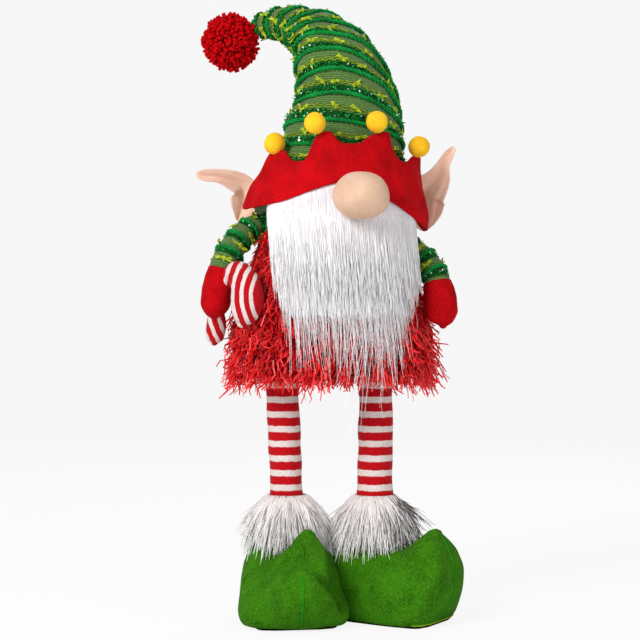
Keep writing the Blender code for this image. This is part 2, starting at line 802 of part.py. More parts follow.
def main():
    for old in list(bpy.data.objects):
        bpy.data.objects.remove(old, do_unlink=True)
    parts = bpy.data.collections.new("christmas_elf")
    helpers = bpy.data.collections.new("cutters")
    for group in (parts, helpers):
        bpy.context.scene.collection.children.link(group)

    green_felt = make_material("green_felt", "3F8A1C", 0.95)
    sole_cloth = make_material("sole_cloth", "14180F", 0.9)
    red_knit = make_material("red_knit", "C41524", 0.9)
    white_knit = make_material("white_knit", "E4DAD6", 0.9)
    red_felt = make_material("red_felt", "C8101C", 0.95)
    white_fur = make_material("white_fur", "EDE7E8", 0.7)
    red_tinsel = make_material("red_tinsel", "D8202A", 0.35)
    green_yarn = make_material("green_yarn", "128A3C", 0.7)
    olive_knit = make_material("olive_knit", "587A34", 0.9)
    red_yarn = make_material("red_yarn", "A80C18", 0.95)
    yellow_felt = make_material("yellow_felt", "F2B824", 0.95)
    skin_fleece = make_material("skin_fleece", "E9C2A2", 0.95)
    rod_wood = make_material("rod_wood", "C9A877", 0.6)

    feet = (
        ("left", LEFT_ANKLE_X, LEFT_HIP_X, LEFT_SHOE_TURN, LEFT_TOE_DROP),
        ("right", RIGHT_ANKLE_X, RIGHT_HIP_X, RIGHT_SHOE_TURN, 0.0),
    )
    body = body_form("body", parts)
    dress(body, red_tinsel)
    body_clear = body_cutter("body_clear", helpers)
    shoe_clear = {}
    for side, ankle_x, hip_x, turn, toe_drop in feet:
        rod_rows = leg_rows(ankle_x, hip_x, (ROD_FOOT, ROD_HEAD), ROD_RADIUS)
        rod = tube("leg_rod_" + side, rod_rows, 10, parts)
        dress(rod, rod_wood)
        rod_bore = tube("rod_bore_" + side, grown(rod_rows, CLEARANCE), 10, helpers)
        leg_line = leg_rows(ankle_x, hip_x, (LEG_FOOT, LEG_HEAD), LEG_RADIUS)
        socket = tube("leg_socket_" + side, grown(leg_line, CLEARANCE), LEG_SIDES, helpers)

        leg = leg_form("leg_" + side, ankle_x, hip_x, (red_knit, white_knit), parts)
        cut(leg, rod_bore)
        cut(body, socket, rod_bore)

        shoe = shoe_form("shoe_" + side, ankle_x, turn, toe_drop, 0, parts)
        cut(shoe, socket, rod_bore)
        dress(shoe, green_felt)
        shoe_clear[side] = shoe_form(
            "shoe_clear_" + side, ankle_x, turn, toe_drop, SEAM_CLEARANCE, helpers
        )
        if side == "right":
            cut(shoe, shoe_clear["left"])
        sole = sole_form("sole_" + side, ankle_x, turn, parts)
        sole.data.materials.append(sole_cloth)

        cuff = cuff_form("fur_cuff_" + side, ankle_x, hip_x, parts)
        cut(cuff, shoe_clear[side])
        dress(cuff, white_fur)

    hat, hat_line = hat_form("hat", (green_yarn, olive_knit), parts)
    hat.data.shade_smooth()
    hat_clear = tube(
        "hat_clear", grown(hat_line, BAND_HEIGHT + SEAM_CLEARANCE), HAT_SIDES, helpers
    )
    pompom_centre = Vector(POMPOM_CENTRE) + Vector((0, 0, HAT_HEM))
    pompom = ball("pompom", pompom_centre, [POMPOM_RADIUS] * 3, 18, 12, parts)
    for k, vert in enumerate(pompom.data.vertices):
        vert.co *= 1.0 + (0.035 if k % 2 else -0.035)
    tip_rows = grown(hat_line[-4:], SEAM_CLEARANCE)
    cut(pompom, tube("hat_tip_clear", tip_rows, HAT_SIDES, helpers))
    dress(pompom, red_yarn)

    nose = nose_form("nose", 0, parts)
    cut(nose, hat_clear)
    dress(nose, skin_fleece)
    nose_clear = nose_form("nose_clear", SEAM_CLEARANCE, helpers)
    brim = brim_form(parts)
    cut(brim, nose_clear, hat_clear)
    dress(brim, red_felt)
    for number, azimuth in enumerate(BRIM_POINTS, 1):
        made = ball(
            "brim_ball_%d" % number, brim_tip(azimuth), [BALL_RADIUS] * 3, 12, 7, parts
        )
        dress(made, yellow_felt)
    beard = beard_form(parts)
    cut(beard, nose_clear)
    dress(beard, white_fur)

    for side, line, outward in (
        ("left", EAR_LEFT_LINE, -1),
        ("right", EAR_RIGHT_LINE, 1),
    ):
        ear = shell("ear_" + side, 6, 14, ear_place(line, outward), EAR_THICKNESS, parts)
        cut(ear, hat_clear)
        dress(ear, skin_fleece)

    def hung(line):
        return [(x, y, BODY_TOP - z, radius) for x, y, z, radius in line]

    cane_rows, _ = smooth_rows(hung(CANE_LINE), count=24)
    cane_clear = tube("cane_clear", grown(cane_rows, SEAM_CLEARANCE), 12, helpers)
    cut(beard, cane_clear)
    for side, sleeve_line, mitten_line in (
        ("left", SLEEVE_LEFT_LINE, MITTEN_LEFT_LINE),
        ("right", SLEEVE_RIGHT_LINE, MITTEN_RIGHT_LINE),
    ):
        rows, _ = smooth_rows(hung(sleeve_line), count=13)
        ribbed = [
            (x, y, z, radius + (0.0012 if k % 3 == 1 else 0))
            for k, (x, y, z, radius) in enumerate(rows)
        ]
        mitten_rows, _ = smooth_rows(hung(mitten_line), count=9)
        mitten = tube("mitten_" + side, mitten_rows, 12, parts)
        mitten_clear = tube(
            "mitten_clear_" + side, grown(mitten_rows, SEAM_CLEARANCE), 12, helpers
        )
        sleeve = tube("sleeve_" + side, ribbed, 12, parts)
        cut(sleeve, body_clear, mitten_clear)
        dress(sleeve, olive_knit)
        cut(mitten, body_clear)
        if side == "left":
            cut(mitten, cane_clear)
        dress(mitten, red_felt)
    cane = tube("candy_cane", cane_rows, 12, parts)
    for colour in (red_knit, white_knit):
        cane.data.materials.append(colour)
    for face in cane.data.polygons:
        away = math.hypot(
            face.center.x - CANE_STRIPE_CENTRE[0],
            face.center.z - (BODY_TOP - CANE_STRIPE_CENTRE[1]),
        )
        face.material_index = 1 if (away / CANE_STRIPE_PITCH) % 1 > RED_SHARE else 0
    cut(cane, body_clear)

    for helper in helpers.objects:
        helper.hide_render = True
        helper.display_type = "WIRE"

    # The origin is the middle of the figure's box, on the floor.
    bpy.context.view_layer.update()
    graph = bpy.context.evaluated_depsgraph_get()
    corners = []
    for part in parts.objects:
        seen = part.evaluated_get(graph)
        corners += [part.matrix_world @ vert.co for vert in seen.to_mesh().vertices]
        seen.to_mesh_clear()
    low = [min(corner[i] for corner in corners) for i in range(3)]
    high = [max(corner[i] for corner in corners) for i in range(3)]
    figure = add_object("figure", None, parts)
    figure.location = (-(low[0] + high[0]) / 2, -(low[1] + high[1]) / 2, -low[2])
    for group in (parts, helpers):
        for part in group.objects:
            if part is not figure:
                part.parent = figure


main()
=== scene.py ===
import math

import bmesh
import bpy
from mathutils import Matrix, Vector, noise


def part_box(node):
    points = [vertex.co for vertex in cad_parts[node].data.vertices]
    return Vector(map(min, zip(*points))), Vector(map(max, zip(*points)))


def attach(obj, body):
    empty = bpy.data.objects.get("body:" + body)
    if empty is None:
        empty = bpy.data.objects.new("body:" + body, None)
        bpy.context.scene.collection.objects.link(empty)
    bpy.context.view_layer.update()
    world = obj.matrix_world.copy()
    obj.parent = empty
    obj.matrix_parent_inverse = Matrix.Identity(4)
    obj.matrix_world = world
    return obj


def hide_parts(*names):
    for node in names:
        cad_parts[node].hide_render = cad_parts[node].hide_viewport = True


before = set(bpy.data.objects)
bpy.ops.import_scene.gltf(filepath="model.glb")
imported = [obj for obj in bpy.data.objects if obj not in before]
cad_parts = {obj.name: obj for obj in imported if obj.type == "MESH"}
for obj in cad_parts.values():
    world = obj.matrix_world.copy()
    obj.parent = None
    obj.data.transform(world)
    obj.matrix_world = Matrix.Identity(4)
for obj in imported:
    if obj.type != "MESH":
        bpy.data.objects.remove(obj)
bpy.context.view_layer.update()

# Camera, floor and light
#
# The photograph is taken level, from 1.65 m in front of the legs and a little above the knees.
# The figure's own measures run from the legs' axis, which X0 and Y0 set in the frame.

body_low, body_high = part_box("body")
leg_low, leg_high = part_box("leg_left")
# The body hangs a little to the right of the legs' axis.
BODY_X = 0.0034
X0 = (body_low[0] + body_high[0]) / 2 - BODY_X
Y0 = (leg_low[1] + leg_high[1]) / 2
CAMERA_X = -0.0079
CAMERA_REACH = 1.65
CAMERA_HEIGHT = 0.2925
CAMERA_LENS = 94.3


def spot(x, y, z):
    """A point of the figure's own measures, in the frame."""
    return Vector((X0 + x, Y0 + y, z))


def tint(text):
    """Linear colour of an sRGB hex value."""
    parts = [int(text[i : i + 2], 16) / 255 for i in (0, 2, 4)]
    return [p / 12.92 if p <= 0.04045 else ((p + 0.055) / 1.055) ** 2.4 for p in parts] + [1.0]


# The kinds of nodes that are used most.
MATH = "ShaderNodeMath"
VECTOR = "ShaderNodeVectorMath"
PLUS, MINUS, TIMES, OVER = ((MATH, name) for name in ("ADD", "SUBTRACT", "MULTIPLY", "DIVIDE"))
MOVED, APART, SCALED = ((VECTOR, name) for name in ("ADD", "SUBTRACT", "SCALE"))
RANGE = "ShaderNodeMapRange"
MIX = "ShaderNodeMix"
NOISE = "ShaderNodeTexNoise"


def add(tree, kind, values=(), **settings):
    """A new node with its settings, and numbers or links on its inputs, by place or by name.
    A node given as a value stands for its first output, and a kind can hold its operation.
    """
    if isinstance(kind, tuple):
        kind, settings["operation"] = kind
    made = tree.nodes.new(kind)
    for name, value in settings.items():
        setattr(made, name, value)
    for socket, value in values.items() if isinstance(values, dict) else enumerate(values):
        if isinstance(value, bpy.types.Node):
            value = value.outputs[0]
        if isinstance(value, bpy.types.NodeSocket):
            tree.links.new(value, made.inputs[socket])
        else:
            made.inputs[socket].default_value = value
    return made


def finish_named(name, **looks):
    """A new material, its tree and its shader with numbers on its inputs, ready for more nodes."""
    made = bpy.data.materials.new(name)
    made.use_nodes = True
    shader = made.node_tree.nodes["Principled BSDF"]
    for title, value in looks.items():
        shader.inputs[title.replace("_", " ")].default_value = value
    return made, made.node_tree, shader


def show(name, mesh):
    made = bpy.data.objects.new(name, mesh)
    bpy.context.scene.collection.objects.link(made)
    return made


camera = show("camera", bpy.data.cameras.new("camera"))
camera.data.lens = CAMERA_LENS
camera.data.sensor_width = 36
camera.data.clip_end = 30
camera.location = spot(CAMERA_X, -CAMERA_REACH, CAMERA_HEIGHT)
camera.rotation_euler = (math.pi / 2, 0, 0)
bpy.context.scene.camera = camera
bpy.context.scene.view_settings.view_transform = "Standard"

# The floor is one long sweep of white paper that rises behind the figure.
SWEEP_HALF = 9.0
SWEEP_BACK = 3.0
SWEEP_BEND = 1.5
sweep = [(-5.0, 0.0), (SWEEP_BACK, 0.0)]
SWEEP_STEPS = 12
for k in range(1, SWEEP_STEPS + 1):
    turn = math.pi / 2 * k / SWEEP_STEPS
    sweep.append((SWEEP_BACK + SWEEP_BEND * math.sin(turn), SWEEP_BEND * (1 - math.cos(turn))))
sweep.append((SWEEP_BACK + SWEEP_BEND, 7.0))
floor_mesh = bpy.data.meshes.new("floor")
floor_mesh.from_pydata(
    [(x, y, z) for y, z in sweep for x in (-SWEEP_HALF, SWEEP_HALF)], [],
    [(2 * k, 2 * k + 1, 2 * k + 3, 2 * k + 2) for k in range(len(sweep) - 1)],
)
floor_mesh.shade_smooth()
floor = show("floor", floor_mesh)
paper, tree, shader = finish_named("white_paper", Base_Color=tint("F4F4F4"), Roughness=0.9)
# The camera sees most of the paper as plain white, whatever shadow lies on it.
SEEN_WHITE = 0.86
seen = add(tree, "ShaderNodeLightPath")
white = add(tree, "ShaderNodeEmission", {"Color": tint("FFFFFF"), "Strength": 1.0})
share = add(tree, TIMES, (seen.outputs["Is Camera Ray"], SEEN_WHITE))
mixed = add(tree, "ShaderNodeMixShader", {0: share, 1: shader, 2: white})
tree.links.new(mixed.outputs[0], tree.nodes["Material Output"].inputs["Surface"])
floor_mesh.materials.append(paper)

world = bpy.data.worlds.new("studio")
bpy.context.scene.world = world
world.use_nodes = True
tree = world.node_tree
ground = tree.nodes["Background"]
seen = add(tree, "ShaderNodeLightPath")
clear = add(
    tree, MATH, (seen.outputs["Is Camera Ray"], seen.outputs["Is Glossy Ray"]), operation="MAXIMUM",
)
clear = add(tree, MATH, (clear, seen.outputs["Is Transmission Ray"]), operation="MAXIMUM")
level = add(tree, RANGE, {"Value": clear, "To Min": 0.40, "To Max": 1.0})
tree.links.new(level.outputs[0], ground.inputs["Strength"])
ground.inputs["Color"].default_value = tint("FFFFFF")

# A large window-like light at the left, a weak one at the right and one behind.
LIT_HEIGHT = 0.33
for name, place, size, power in (
    ("key_light", (-1.15, -1.55, 1.35), 0.8, 37), ("fill_light", (1.5, -1.6, 0.7), 1.4, 10),
    ("back_light", (0.5, 1.5, 1.5), 1.0, 9),
):
    lamp = bpy.data.lights.new(name, "AREA")
    lamp.size = size
    lamp.energy = power
    light = show(name, lamp)
    light.location = spot(*place)
    light.rotation_euler = (spot(0, 0, LIT_HEIGHT) - light.location).to_track_quat("-Z", "Y").to_euler()


# Shoes and soles
#
# Each shoe is green felt stuffed over a flat sole of dark felt, and its toe stands up in a point.
# One seam runs over the toe from the ankle, and a pale green welt joins felt and sole.

SHOE_BASE = 0.0043
SHOE_TOP = 0.0913
SHOE_HEIGHT = 0.087
SHOE_LENGTH = 0.130
SHOE_WIDTH = 0.100
WIDEST_SHARE = 0.36
SHOE_SQUARENESS = 0.55
SHOE_SECTIONS = (
    (-0.300, 0.520, -0.300, 0.340, 0.240), (-0.277, 0.713, -0.277, 0.138, 0.540),
    (-0.215, 0.920, -0.223, -0.060, 0.760), (-0.108, 1.000, -0.108, -0.090, 0.880),
    (0.031, 1.000, 0.031, -0.090, 0.930), (0.154, 0.931, 0.169, -0.090, 0.975),
    (0.262, 0.851, 0.308, -0.090, 1.000), (0.315, 0.833, 0.431, -0.080, 0.980),
    (0.354, 0.856, 0.554, -0.010, 0.900), (0.385, 0.897, 0.646, 0.195, 0.790),
    (0.415, 0.943, 0.692, 0.430, 0.650), (0.446, 0.989, 0.677, 0.667, 0.480),
    (0.477, 1.034, 0.623, 0.862, 0.300), (0.515, 1.057, 0.569, 0.977, 0.130),
)
ANKLES = {"left": -0.0394, "right": 0.0453}
HIPS = {"left": -0.0453, "right": 0.0472}
SHOE_TURNS = {"left": math.radians(9), "right": math.radians(60)}
TOE_DROPS = {"left": 0.019, "right": 0.0}


def eased(keys, at):
    """The value at `at` on a smooth curve through (position, value) keys."""
    if at <= keys[0][0]:
        return keys[0][1]
    if at >= keys[-1][0]:
        return keys[-1][1]
    i = next(k for k in range(len(keys) - 1) if keys[k + 1][0] >= at)
    (x0, y0), (x1, y1) = keys[i], keys[i + 1]

    def slope(k):
        low, high = keys[max(k - 1, 0)], keys[min(k + 1, len(keys) - 1)]
        return (high[1] - low[1]) / (high[0] - low[0])

    t, span = (at - x0) / (x1 - x0), x1 - x0
    a, b = slope(i) * span, slope(i + 1) * span
    return (
        y0 * (1 + 2 * t) * (1 - t) ** 2
        + a * t * (1 - t) ** 2
        + y1 * t * t * (3 - 2 * t)
        - b * t * t * (1 - t)
    )


def held(share):
    """The share, kept between 0 and 1."""
    return max(0.0, min(1.0, share))


def lump(point, size, height, seed=0):
    """A soft unevenness of stuffed cloth, size across and up to height high."""
    return noise.noise(Vector(point) / size + Vector((seed * 7.1, seed * 3.3, 0))) * height


def closed_ends(rings, *roundness):
    """The rings with three smaller ones beyond each end, as round as each end is stuffed."""
    middles = [sum(ring, Vector()) / len(ring) for ring in rings]
    found = list(rings)
    for end, inner, fullness in ((0, 1, roundness[0]), (-1, -2, roundness[-1])):
        ahead = (middles[end] - middles[inner]).normalized()
        radius = sum((p - middles[end]).length for p in rings[end]) / len(rings[end])
        for turn in (30, 55, 78):
            t = math.radians(turn)
            ring = [
                middles[end] + (p - middles[end]) * math.cos(t) + ahead * radius * fullness * math.sin(t)
                for p in rings[end]
            ]
            if end == 0:
                found.insert(0, ring)
            else:
                found.append(ring)
    return found


def skin(name, rings, material, cloth=None):
    """A closed mesh through rings of points. cloth(ring, point) lays a map of the cloth on it."""
    work = bmesh.new()
    rows = [[work.verts.new(p) for p in ring] for ring in rings]
    layer = work.loops.layers.uv.new("cloth")
    for r, (low, high) in enumerate(zip(rows, rows[1:])):
        for i in range(len(low)):
            j = (i + 1) % len(low)
            face = work.faces.new((low[i], low[j], high[j], high[i]))
            if cloth:
                for loop, where in zip(face.loops, ((r, i), (r, i + 1), (r + 1, i + 1), (r + 1, i))):
                    loop[layer].uv = cloth(*where)
    for ends in (rows[0][::-1], rows[-1]):
        work.faces.new(ends)
    bmesh.ops.recalc_face_normals(work, faces=work.faces)
    mesh = bpy.data.meshes.new(name)
    work.to_mesh(mesh)
    work.free()
    mesh.shade_smooth()
    mesh.materials.append(material)
    return show(name, mesh)


def settle(piece):
    """The piece with its modifiers made part of its mesh."""
    bpy.context.view_layer.update()
    graph = bpy.context.evaluated_depsgraph_get()
    mesh = bpy.data.meshes.new_from_object(piece.evaluated_get(graph), depsgraph=graph)
    piece.modifiers.clear()
    piece.data = mesh
    return piece


def refined(piece):
    """The piece with its faces split once and rounded."""
    finer = piece.modifiers.new("finer", "SUBSURF")
    finer.levels = finer.render_levels = 1
    return settle(piece)


def dressed(piece, slot, *nodes, fill=None):
    """Hangs the piece under the root and hides the solids it stands for; its slot and fill are not used."""
    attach(piece, "root")
    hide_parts(*nodes)


def felt(name, colour, shade, pale, fibre=0.0016, sheen=0.06, fleck_share=0.4):
    """Pressed wool or fleece: flecked by its fibres, dull, with a pale bloom at its edges."""
    made, tree, shader = finish_named(
        name, Roughness=0.95, Specular_IOR_Level=0.08, Sheen_Weight=sheen, Sheen_Roughness=0.5,
        Sheen_Tint=tint(pale),
    )
    coords = add(tree, "ShaderNodeTexCoord").outputs["Object"]
    broad = add(tree, NOISE, {"Vector": coords, "Scale": 1 / 0.018, "Detail": 3.0})
    fine = add(
        tree, NOISE,
        {"Vector": coords, "Scale": 1 / fibre, "Detail": 3.0, "Roughness": 0.7, "Distortion": 0.6},
    )
    ramp = add(tree, RANGE, {"Value": broad, "From Min": 0.35, "From Max": 0.65})
    fleck = add(tree, RANGE, {"Value": fine, "From Min": 0.42, "From Max": 0.68})
    deep = add(tree, MIX, {0: ramp, 6: tint(shade), 7: tint(colour)}, data_type="RGBA")
    share = add(tree, TIMES, (fleck, fleck_share))
    worn = add(tree, MIX, {0: share, 6: deep.outputs[2], 7: tint(pale)}, data_type="RGBA")
    bump = add(tree, "ShaderNodeBump", {"Height": fine, "Strength": 0.6, "Distance": 0.0007})
    tree.links.new(worn.outputs[2], shader.inputs["Base Color"])
    tree.links.new(bump.outputs[0], shader.inputs["Normal"])
    return made


# Polyester felt with a short brushed nap: the flecks and the pale bloom keep the green soft.
green_felt = felt("green_brushed_felt", "307004", "235A02", "5C9A22", fibre=0.0021, fleck_share=0.5)
# The sole's felt is stiffened and nearly black green.
sole_felt = felt("dark_sole_felt", "161C0E", "0C1008", "2A3020")
# The edge of a lighter green felt, folded over the sole's.
welt_felt = felt("pale_green_welt", "86AC10", "6E960C", "A2C23A")
# Polyester sewing thread, a clearer green than the felt.
seam_thread = felt("green_sewing_thread", "1E8A10", "14700A", "46A82C", fibre=0.0010)


def shoe_line(n):
    return [eased([(k, section[i]) for k, section in enumerate(SHOE_SECTIONS)], n) for i in range(5)]


def shoe_ring(n, toe_drop, points, grow=0.0):
    """One ring of the shoe in its own frame: x across, y forward from the ankle, z up from the sole."""
    top_y, top_z, low_y, low_z, half = shoe_line(n)
    toe = max(0.0, (low_y - 0.45) / 0.24)
    drop = toe_drop * min(1.0, toe) ** 2
    top = Vector((0, top_y * SHOE_LENGTH, top_z * SHOE_HEIGHT - drop))
    low = Vector((0, low_y * SHOE_LENGTH, low_z * SHOE_HEIGHT - drop * 0.4))
    reach = (top - low).length
    up = (top - low).normalized()
    middle = low + up * reach * WIDEST_SHARE
    above = reach * (1 - WIDEST_SHARE) + grow
    below = reach * WIDEST_SHARE + grow
    width = half * SHOE_WIDTH / 2 + grow
    ring = []
    for k in range(points):
        angle = math.tau * k / points
        c, s = math.cos(angle), math.sin(angle)
        if s > 0:
            across, height = c * width, s * above
        else:
            across = math.copysign(abs(c) ** SHOE_SQUARENESS, c) * width
            height = -(abs(s) ** SHOE_SQUARENESS) * below
        point = middle + up * height
        ring.append(Vector((across, point.y, max(point.z, 0.0))))
    return ring


def in_shoe(point, side):
    """A point of the shoe's own frame, at its ankle and turned outwards. Forward is -Y."""
    x, y, z = point
    turn = SHOE_TURNS[side]
    return spot(
        ANKLES[side] + x * math.cos(turn) + y * math.sin(turn),
        -y * math.cos(turn) + x * math.sin(turn), z + SHOE_BASE,
    )


# The left toe faces the front: it is stuffed into a round bulge below its point, which leans back.
BULGE_MIDDLE = (0.002, 0.0310)
BULGE_SIZE = (0.0335, 0.0370)
BULGE_RISE = 0.013
STEP_BACK = 0.016
STEP_SHARE = 0.14
POINT_LEAN = 0.013
POINT_BACK = 0.005
POINT_RISE = -0.001
# The felt spreads a little where it meets the ground.
FOOT_SPREAD = 0.11
FOOT_RISE = 0.036


def with_bulge(point):
    """A point of the left shoe's own frame, with the toe's front bulged and the rest set back."""
    x, y, z = point
    high = held((z - 0.055) / 0.018)
    front = held((y - 0.025) / 0.025)
    off = math.hypot((x - BULGE_MIDDLE[0]) / BULGE_SIZE[0], (z - BULGE_MIDDLE[1]) / BULGE_SIZE[1])
    if off < 1:
        y += BULGE_RISE * math.sqrt(1 - off * off) * front
    else:
        above = held((z - 0.010) / 0.020)
        y -= STEP_BACK * min(1.0, (off - 1) / STEP_SHARE) * above * front
    x *= 1 + FOOT_SPREAD * max(0.0, 1 - z / FOOT_RISE)
    x += POINT_LEAN * high * front
    y -= POINT_BACK * high * front
    z += POINT_RISE * high * front
    return Vector((x, y, z))


# A crease runs round the bulge in the shoe's own frame, shallow on the left and deep on the right.
CREASE_LINE = (
    (-0.0340, 0.0120), (-0.0300, 0.0300), (-0.0237, 0.0455), (-0.0148, 0.0593), (0.0030, 0.0655),
    (0.0152, 0.0570), (0.0260, 0.0445), (0.0376, 0.0313), (0.0440, 0.0180),
)
CREASE_WIDTH = 0.0046
CREASE_DEPTHS = (0.0036, 0.0128)


def creased(shoe, side):
    """Press the crease into a shoe's mesh, along its normals."""
    turn = SHOE_TURNS[side]
    normals = [vert.normal.copy() for vert in shoe.data.vertices]
    for vert, out in zip(shoe.data.vertices, normals):
        away = vert.co - spot(ANKLES[side], 0, SHOE_BASE)
        x = away.x * math.cos(turn) + away.y * math.sin(turn)
        y = away.x * math.sin(turn) - away.y * math.cos(turn)
        place = Vector((x, away.z, 0))
        gaps = []
        for a, b in zip(CREASE_LINE, CREASE_LINE[1:]):
            start, end = Vector((*a, 0)), Vector((*b, 0))
            share = (place - start).dot(end - start) / (end - start).length_squared
            gaps.append((place - start.lerp(end, held(share))).length)
        depth = CREASE_DEPTHS[0]
        depth += (CREASE_DEPTHS[1] - CREASE_DEPTHS[0]) * held((x + 0.020) / 0.025)
        front = held((y - 0.005) / 0.012)
        vert.co -= out * depth * front * math.exp(-((min(gaps) / CREASE_WIDTH) ** 2))


# The right toe has sunk and drawn back a little.
TOE_SINK = (0.052, 0.86)
TOE_DRAW = (0.070, 0.88)


def settled_toe(point):
    """A point of the right shoe's own frame, lowered and drawn back at the toe."""
    x, y, z = point
    if z > TOE_SINK[0]:
        z = TOE_SINK[0] + (z - TOE_SINK[0]) * TOE_SINK[1]
    if y > TOE_DRAW[0]:
        y = TOE_DRAW[0] + (y - TOE_DRAW[0]) * TOE_DRAW[1]
    return Vector((x, y, z))


SHOE_STEPS = 4
SHOE_AROUND = 60
SOLE_STEPS = 28
# How far the felt hangs over the sole's edge.
HANG = 0.0022
seam_lines = []
sole_lines = []
for side in ("left", "right"):
    rings = []
    for n in range((len(SHOE_SECTIONS) - 1) * SHOE_STEPS + 1):
        ring = shoe_ring(n / SHOE_STEPS, TOE_DROPS[side], SHOE_AROUND)
        if side == "left":
            ring = [with_bulge(p) for p in ring]
        else:
            ring = [settled_toe(p) for p in ring]
        rings.append([in_shoe(p, side) for p in ring])
    # The seam runs up the toe's front from the sole and over the point, then back to the ankle.
    front = [ring[SHOE_AROUND * 3 // 4] for ring in rings[8 * SHOE_STEPS :]]
    over = [ring[SHOE_AROUND // 4] for ring in rings[7 * SHOE_STEPS :]][::-1]
    seam_lines.append(front[: -2 * SHOE_STEPS] if side == "left" else front + over)
    rings = closed_ends(rings, 0.6)
    shoe = skin("felt_shoe_" + side, rings, green_felt)
    for vert in shoe.data.vertices:
        away = held((vert.co.z - SHOE_BASE - 0.004) / 0.02)
        shift = lump(vert.co, 0.034, 0.0030, 1) + lump(vert.co, 0.013, 0.0010, 2)
        vert.co += vert.normal * shift * away
    smooth = shoe.modifiers.new("smooth", "SMOOTH")
    smooth.factor = 0.5
    smooth.iterations = 1
    refined(shoe)
    if side == "left":
        creased(shoe, side)
    for vert in shoe.data.vertices:
        vert.co.z -= HANG * held(1 - (vert.co.z - SHOE_BASE) / 0.012)
    dressed(shoe, "green_felt", "shoe_" + side, fill=0.9)
    bpy.context.view_layer.update()
    rows = []
    for point in seam_lines[-1]:
        _, place, out, _ = shoe.closest_point_on_mesh(point)
        rows.append((place + out * 0.0001, out.copy(), 1.0))
    seam_lines[-1] = rows

    flat = [(s[2], s[4]) for s in SHOE_SECTIONS if s[3] <= 0]
    flat = [(flat[0][0] - 0.035, flat[0][1] * 0.6)] + flat + [(flat[-1][0] + 0.035, flat[-1][1] * 0.6)]
    line = [flat[0][0] + (flat[-1][0] - flat[0][0]) * k / SOLE_STEPS for k in range(SOLE_STEPS + 1)]
    edge = [(eased(flat, y) * 0.80 * SHOE_WIDTH / 2, y * SHOE_LENGTH * 0.93) for y in line]
    outline = [(-x, y) for x, y in edge] + edge[::-1]
    rings = []
    for z, inset in ((0.0, 0.0014), (0.0006, 0.0003), (0.002, 0.0), (0.0034, 0.0003), (0.004, 0.0014)):
        rings.append(
            [
                in_shoe((x * (1 - inset / 0.04), y * (1 - inset / 0.09), z - SHOE_BASE), side)
                for x, y in outline
            ]
        )
    sole_lines.append(rings[3])
    sole = skin("felt_sole_" + side, rings, sole_felt)
    dressed(sole, "sole_cloth", "sole_" + side)


def new_tree(name, **inputs):
    """A new geometry tree with named inputs of each kind: the tree, its inputs, its output node."""
    tree = bpy.data.node_groups.new(name, "GeometryNodeTree")
    tree.interface.new_socket("Geometry", in_out="INPUT", socket_type="NodeSocketGeometry")
    for kind, titles in inputs.items():
        for title in titles:
            tree.interface.new_socket(title, in_out="INPUT", socket_type="NodeSocket" + kind)
    tree.interface.new_socket("Geometry", in_out="OUTPUT", socket_type="NodeSocketGeometry")
    return tree, add(tree, "NodeGroupInput").outputs, add(tree, "NodeGroupOutput")


def run_tree(piece, tree, settings):
    """The piece's mesh as the tree makes it, as a plain mesh."""
    made = piece.modifiers.new(tree.name, "NODES")
    made.node_group = tree
    for socket in tree.interface.items_tree:
        if socket.in_out == "INPUT" and socket.name in settings:
            made[socket.identifier] = settings[socket.name]
    return settle(piece)


# Threads, yarns and cords: strands twisted round a line of edges, with a wobble in their thickness.
yarn, inlet, outlet = new_tree(
    "yarn", Float=("Radius", "Spread", "Pitch", "Step", "Wobble", "Grain"), Int=("Strands", "Sides"),
    Material=("Material",),
)
line = add(yarn, "GeometryNodeMeshToCurve", {"Mesh": inlet["Geometry"]})
line = add(yarn, "GeometryNodeResampleCurve", {"Curve": line, "Length": inlet["Step"]}, mode="LENGTH")
copies = add(
    yarn, "GeometryNodeDuplicateElements", {"Geometry": line, "Amount": inlet["Strands"]}, domain="SPLINE"
)
run = add(yarn, "GeometryNodeSplineParameter").outputs["Length"]
turns = add(yarn, OVER, (run, inlet["Pitch"]))
own = add(yarn, OVER, (copies.outputs["Duplicate Index"], inlet["Strands"]))
turns = add(yarn, PLUS, (turns, own))
phase = add(yarn, TIMES, (turns, math.tau))
NAMED = "GeometryNodeInputNamedAttribute"
out = add(yarn, NAMED, {"Name": "out"}, data_type="FLOAT_VECTOR")
size = add(yarn, NAMED, {"Name": "size"}, data_type="FLOAT")
tangent = add(yarn, "GeometryNodeInputTangent")
aside = add(yarn, VECTOR, (tangent, out), operation="CROSS_PRODUCT")
high = add(yarn, TIMES, (add(yarn, MATH, (phase,), operation="COSINE"), inlet["Spread"]))
wide = add(yarn, TIMES, (add(yarn, MATH, (phase,), operation="SINE"), inlet["Spread"]))
rise = add(yarn, SCALED, {0: out, "Scale": high})
drift = add(yarn, SCALED, {0: aside, "Scale": wide})
where = add(yarn, "GeometryNodeInputPosition")
far = add(yarn, SCALED, {0: (31.0, 17.0, 5.0), "Scale": copies.outputs["Duplicate Index"]})
grain = add(yarn, OVER, (1.0, inlet["Grain"]))
cell = add(yarn, SCALED, {0: where, "Scale": grain})
cell = add(yarn, MOVED, (cell, far))
rough = add(yarn, NOISE, {"Vector": cell, "Scale": 1.0, "Detail": 1.0})
signed = add(yarn, APART, (rough.outputs["Color"], (0.5, 0.5, 0.5)))
loose = add(yarn, TIMES, (inlet["Wobble"], inlet["Radius"]))
shake = add(yarn, SCALED, {0: signed, "Scale": loose})
moved = add(yarn, MOVED, (rise, drift))
moved = add(yarn, MOVED, (moved, shake))
line = add(yarn, "GeometryNodeSetPosition", {"Geometry": copies, "Offset": moved})
centred = add(yarn, MINUS, (rough.outputs[0], 0.5))
thick = add(yarn, MATH, (centred, inlet["Wobble"], 1.0), operation="MULTIPLY_ADD")
thick = add(yarn, TIMES, (thick, size))
thick = add(yarn, TIMES, (thick, inlet["Radius"]))
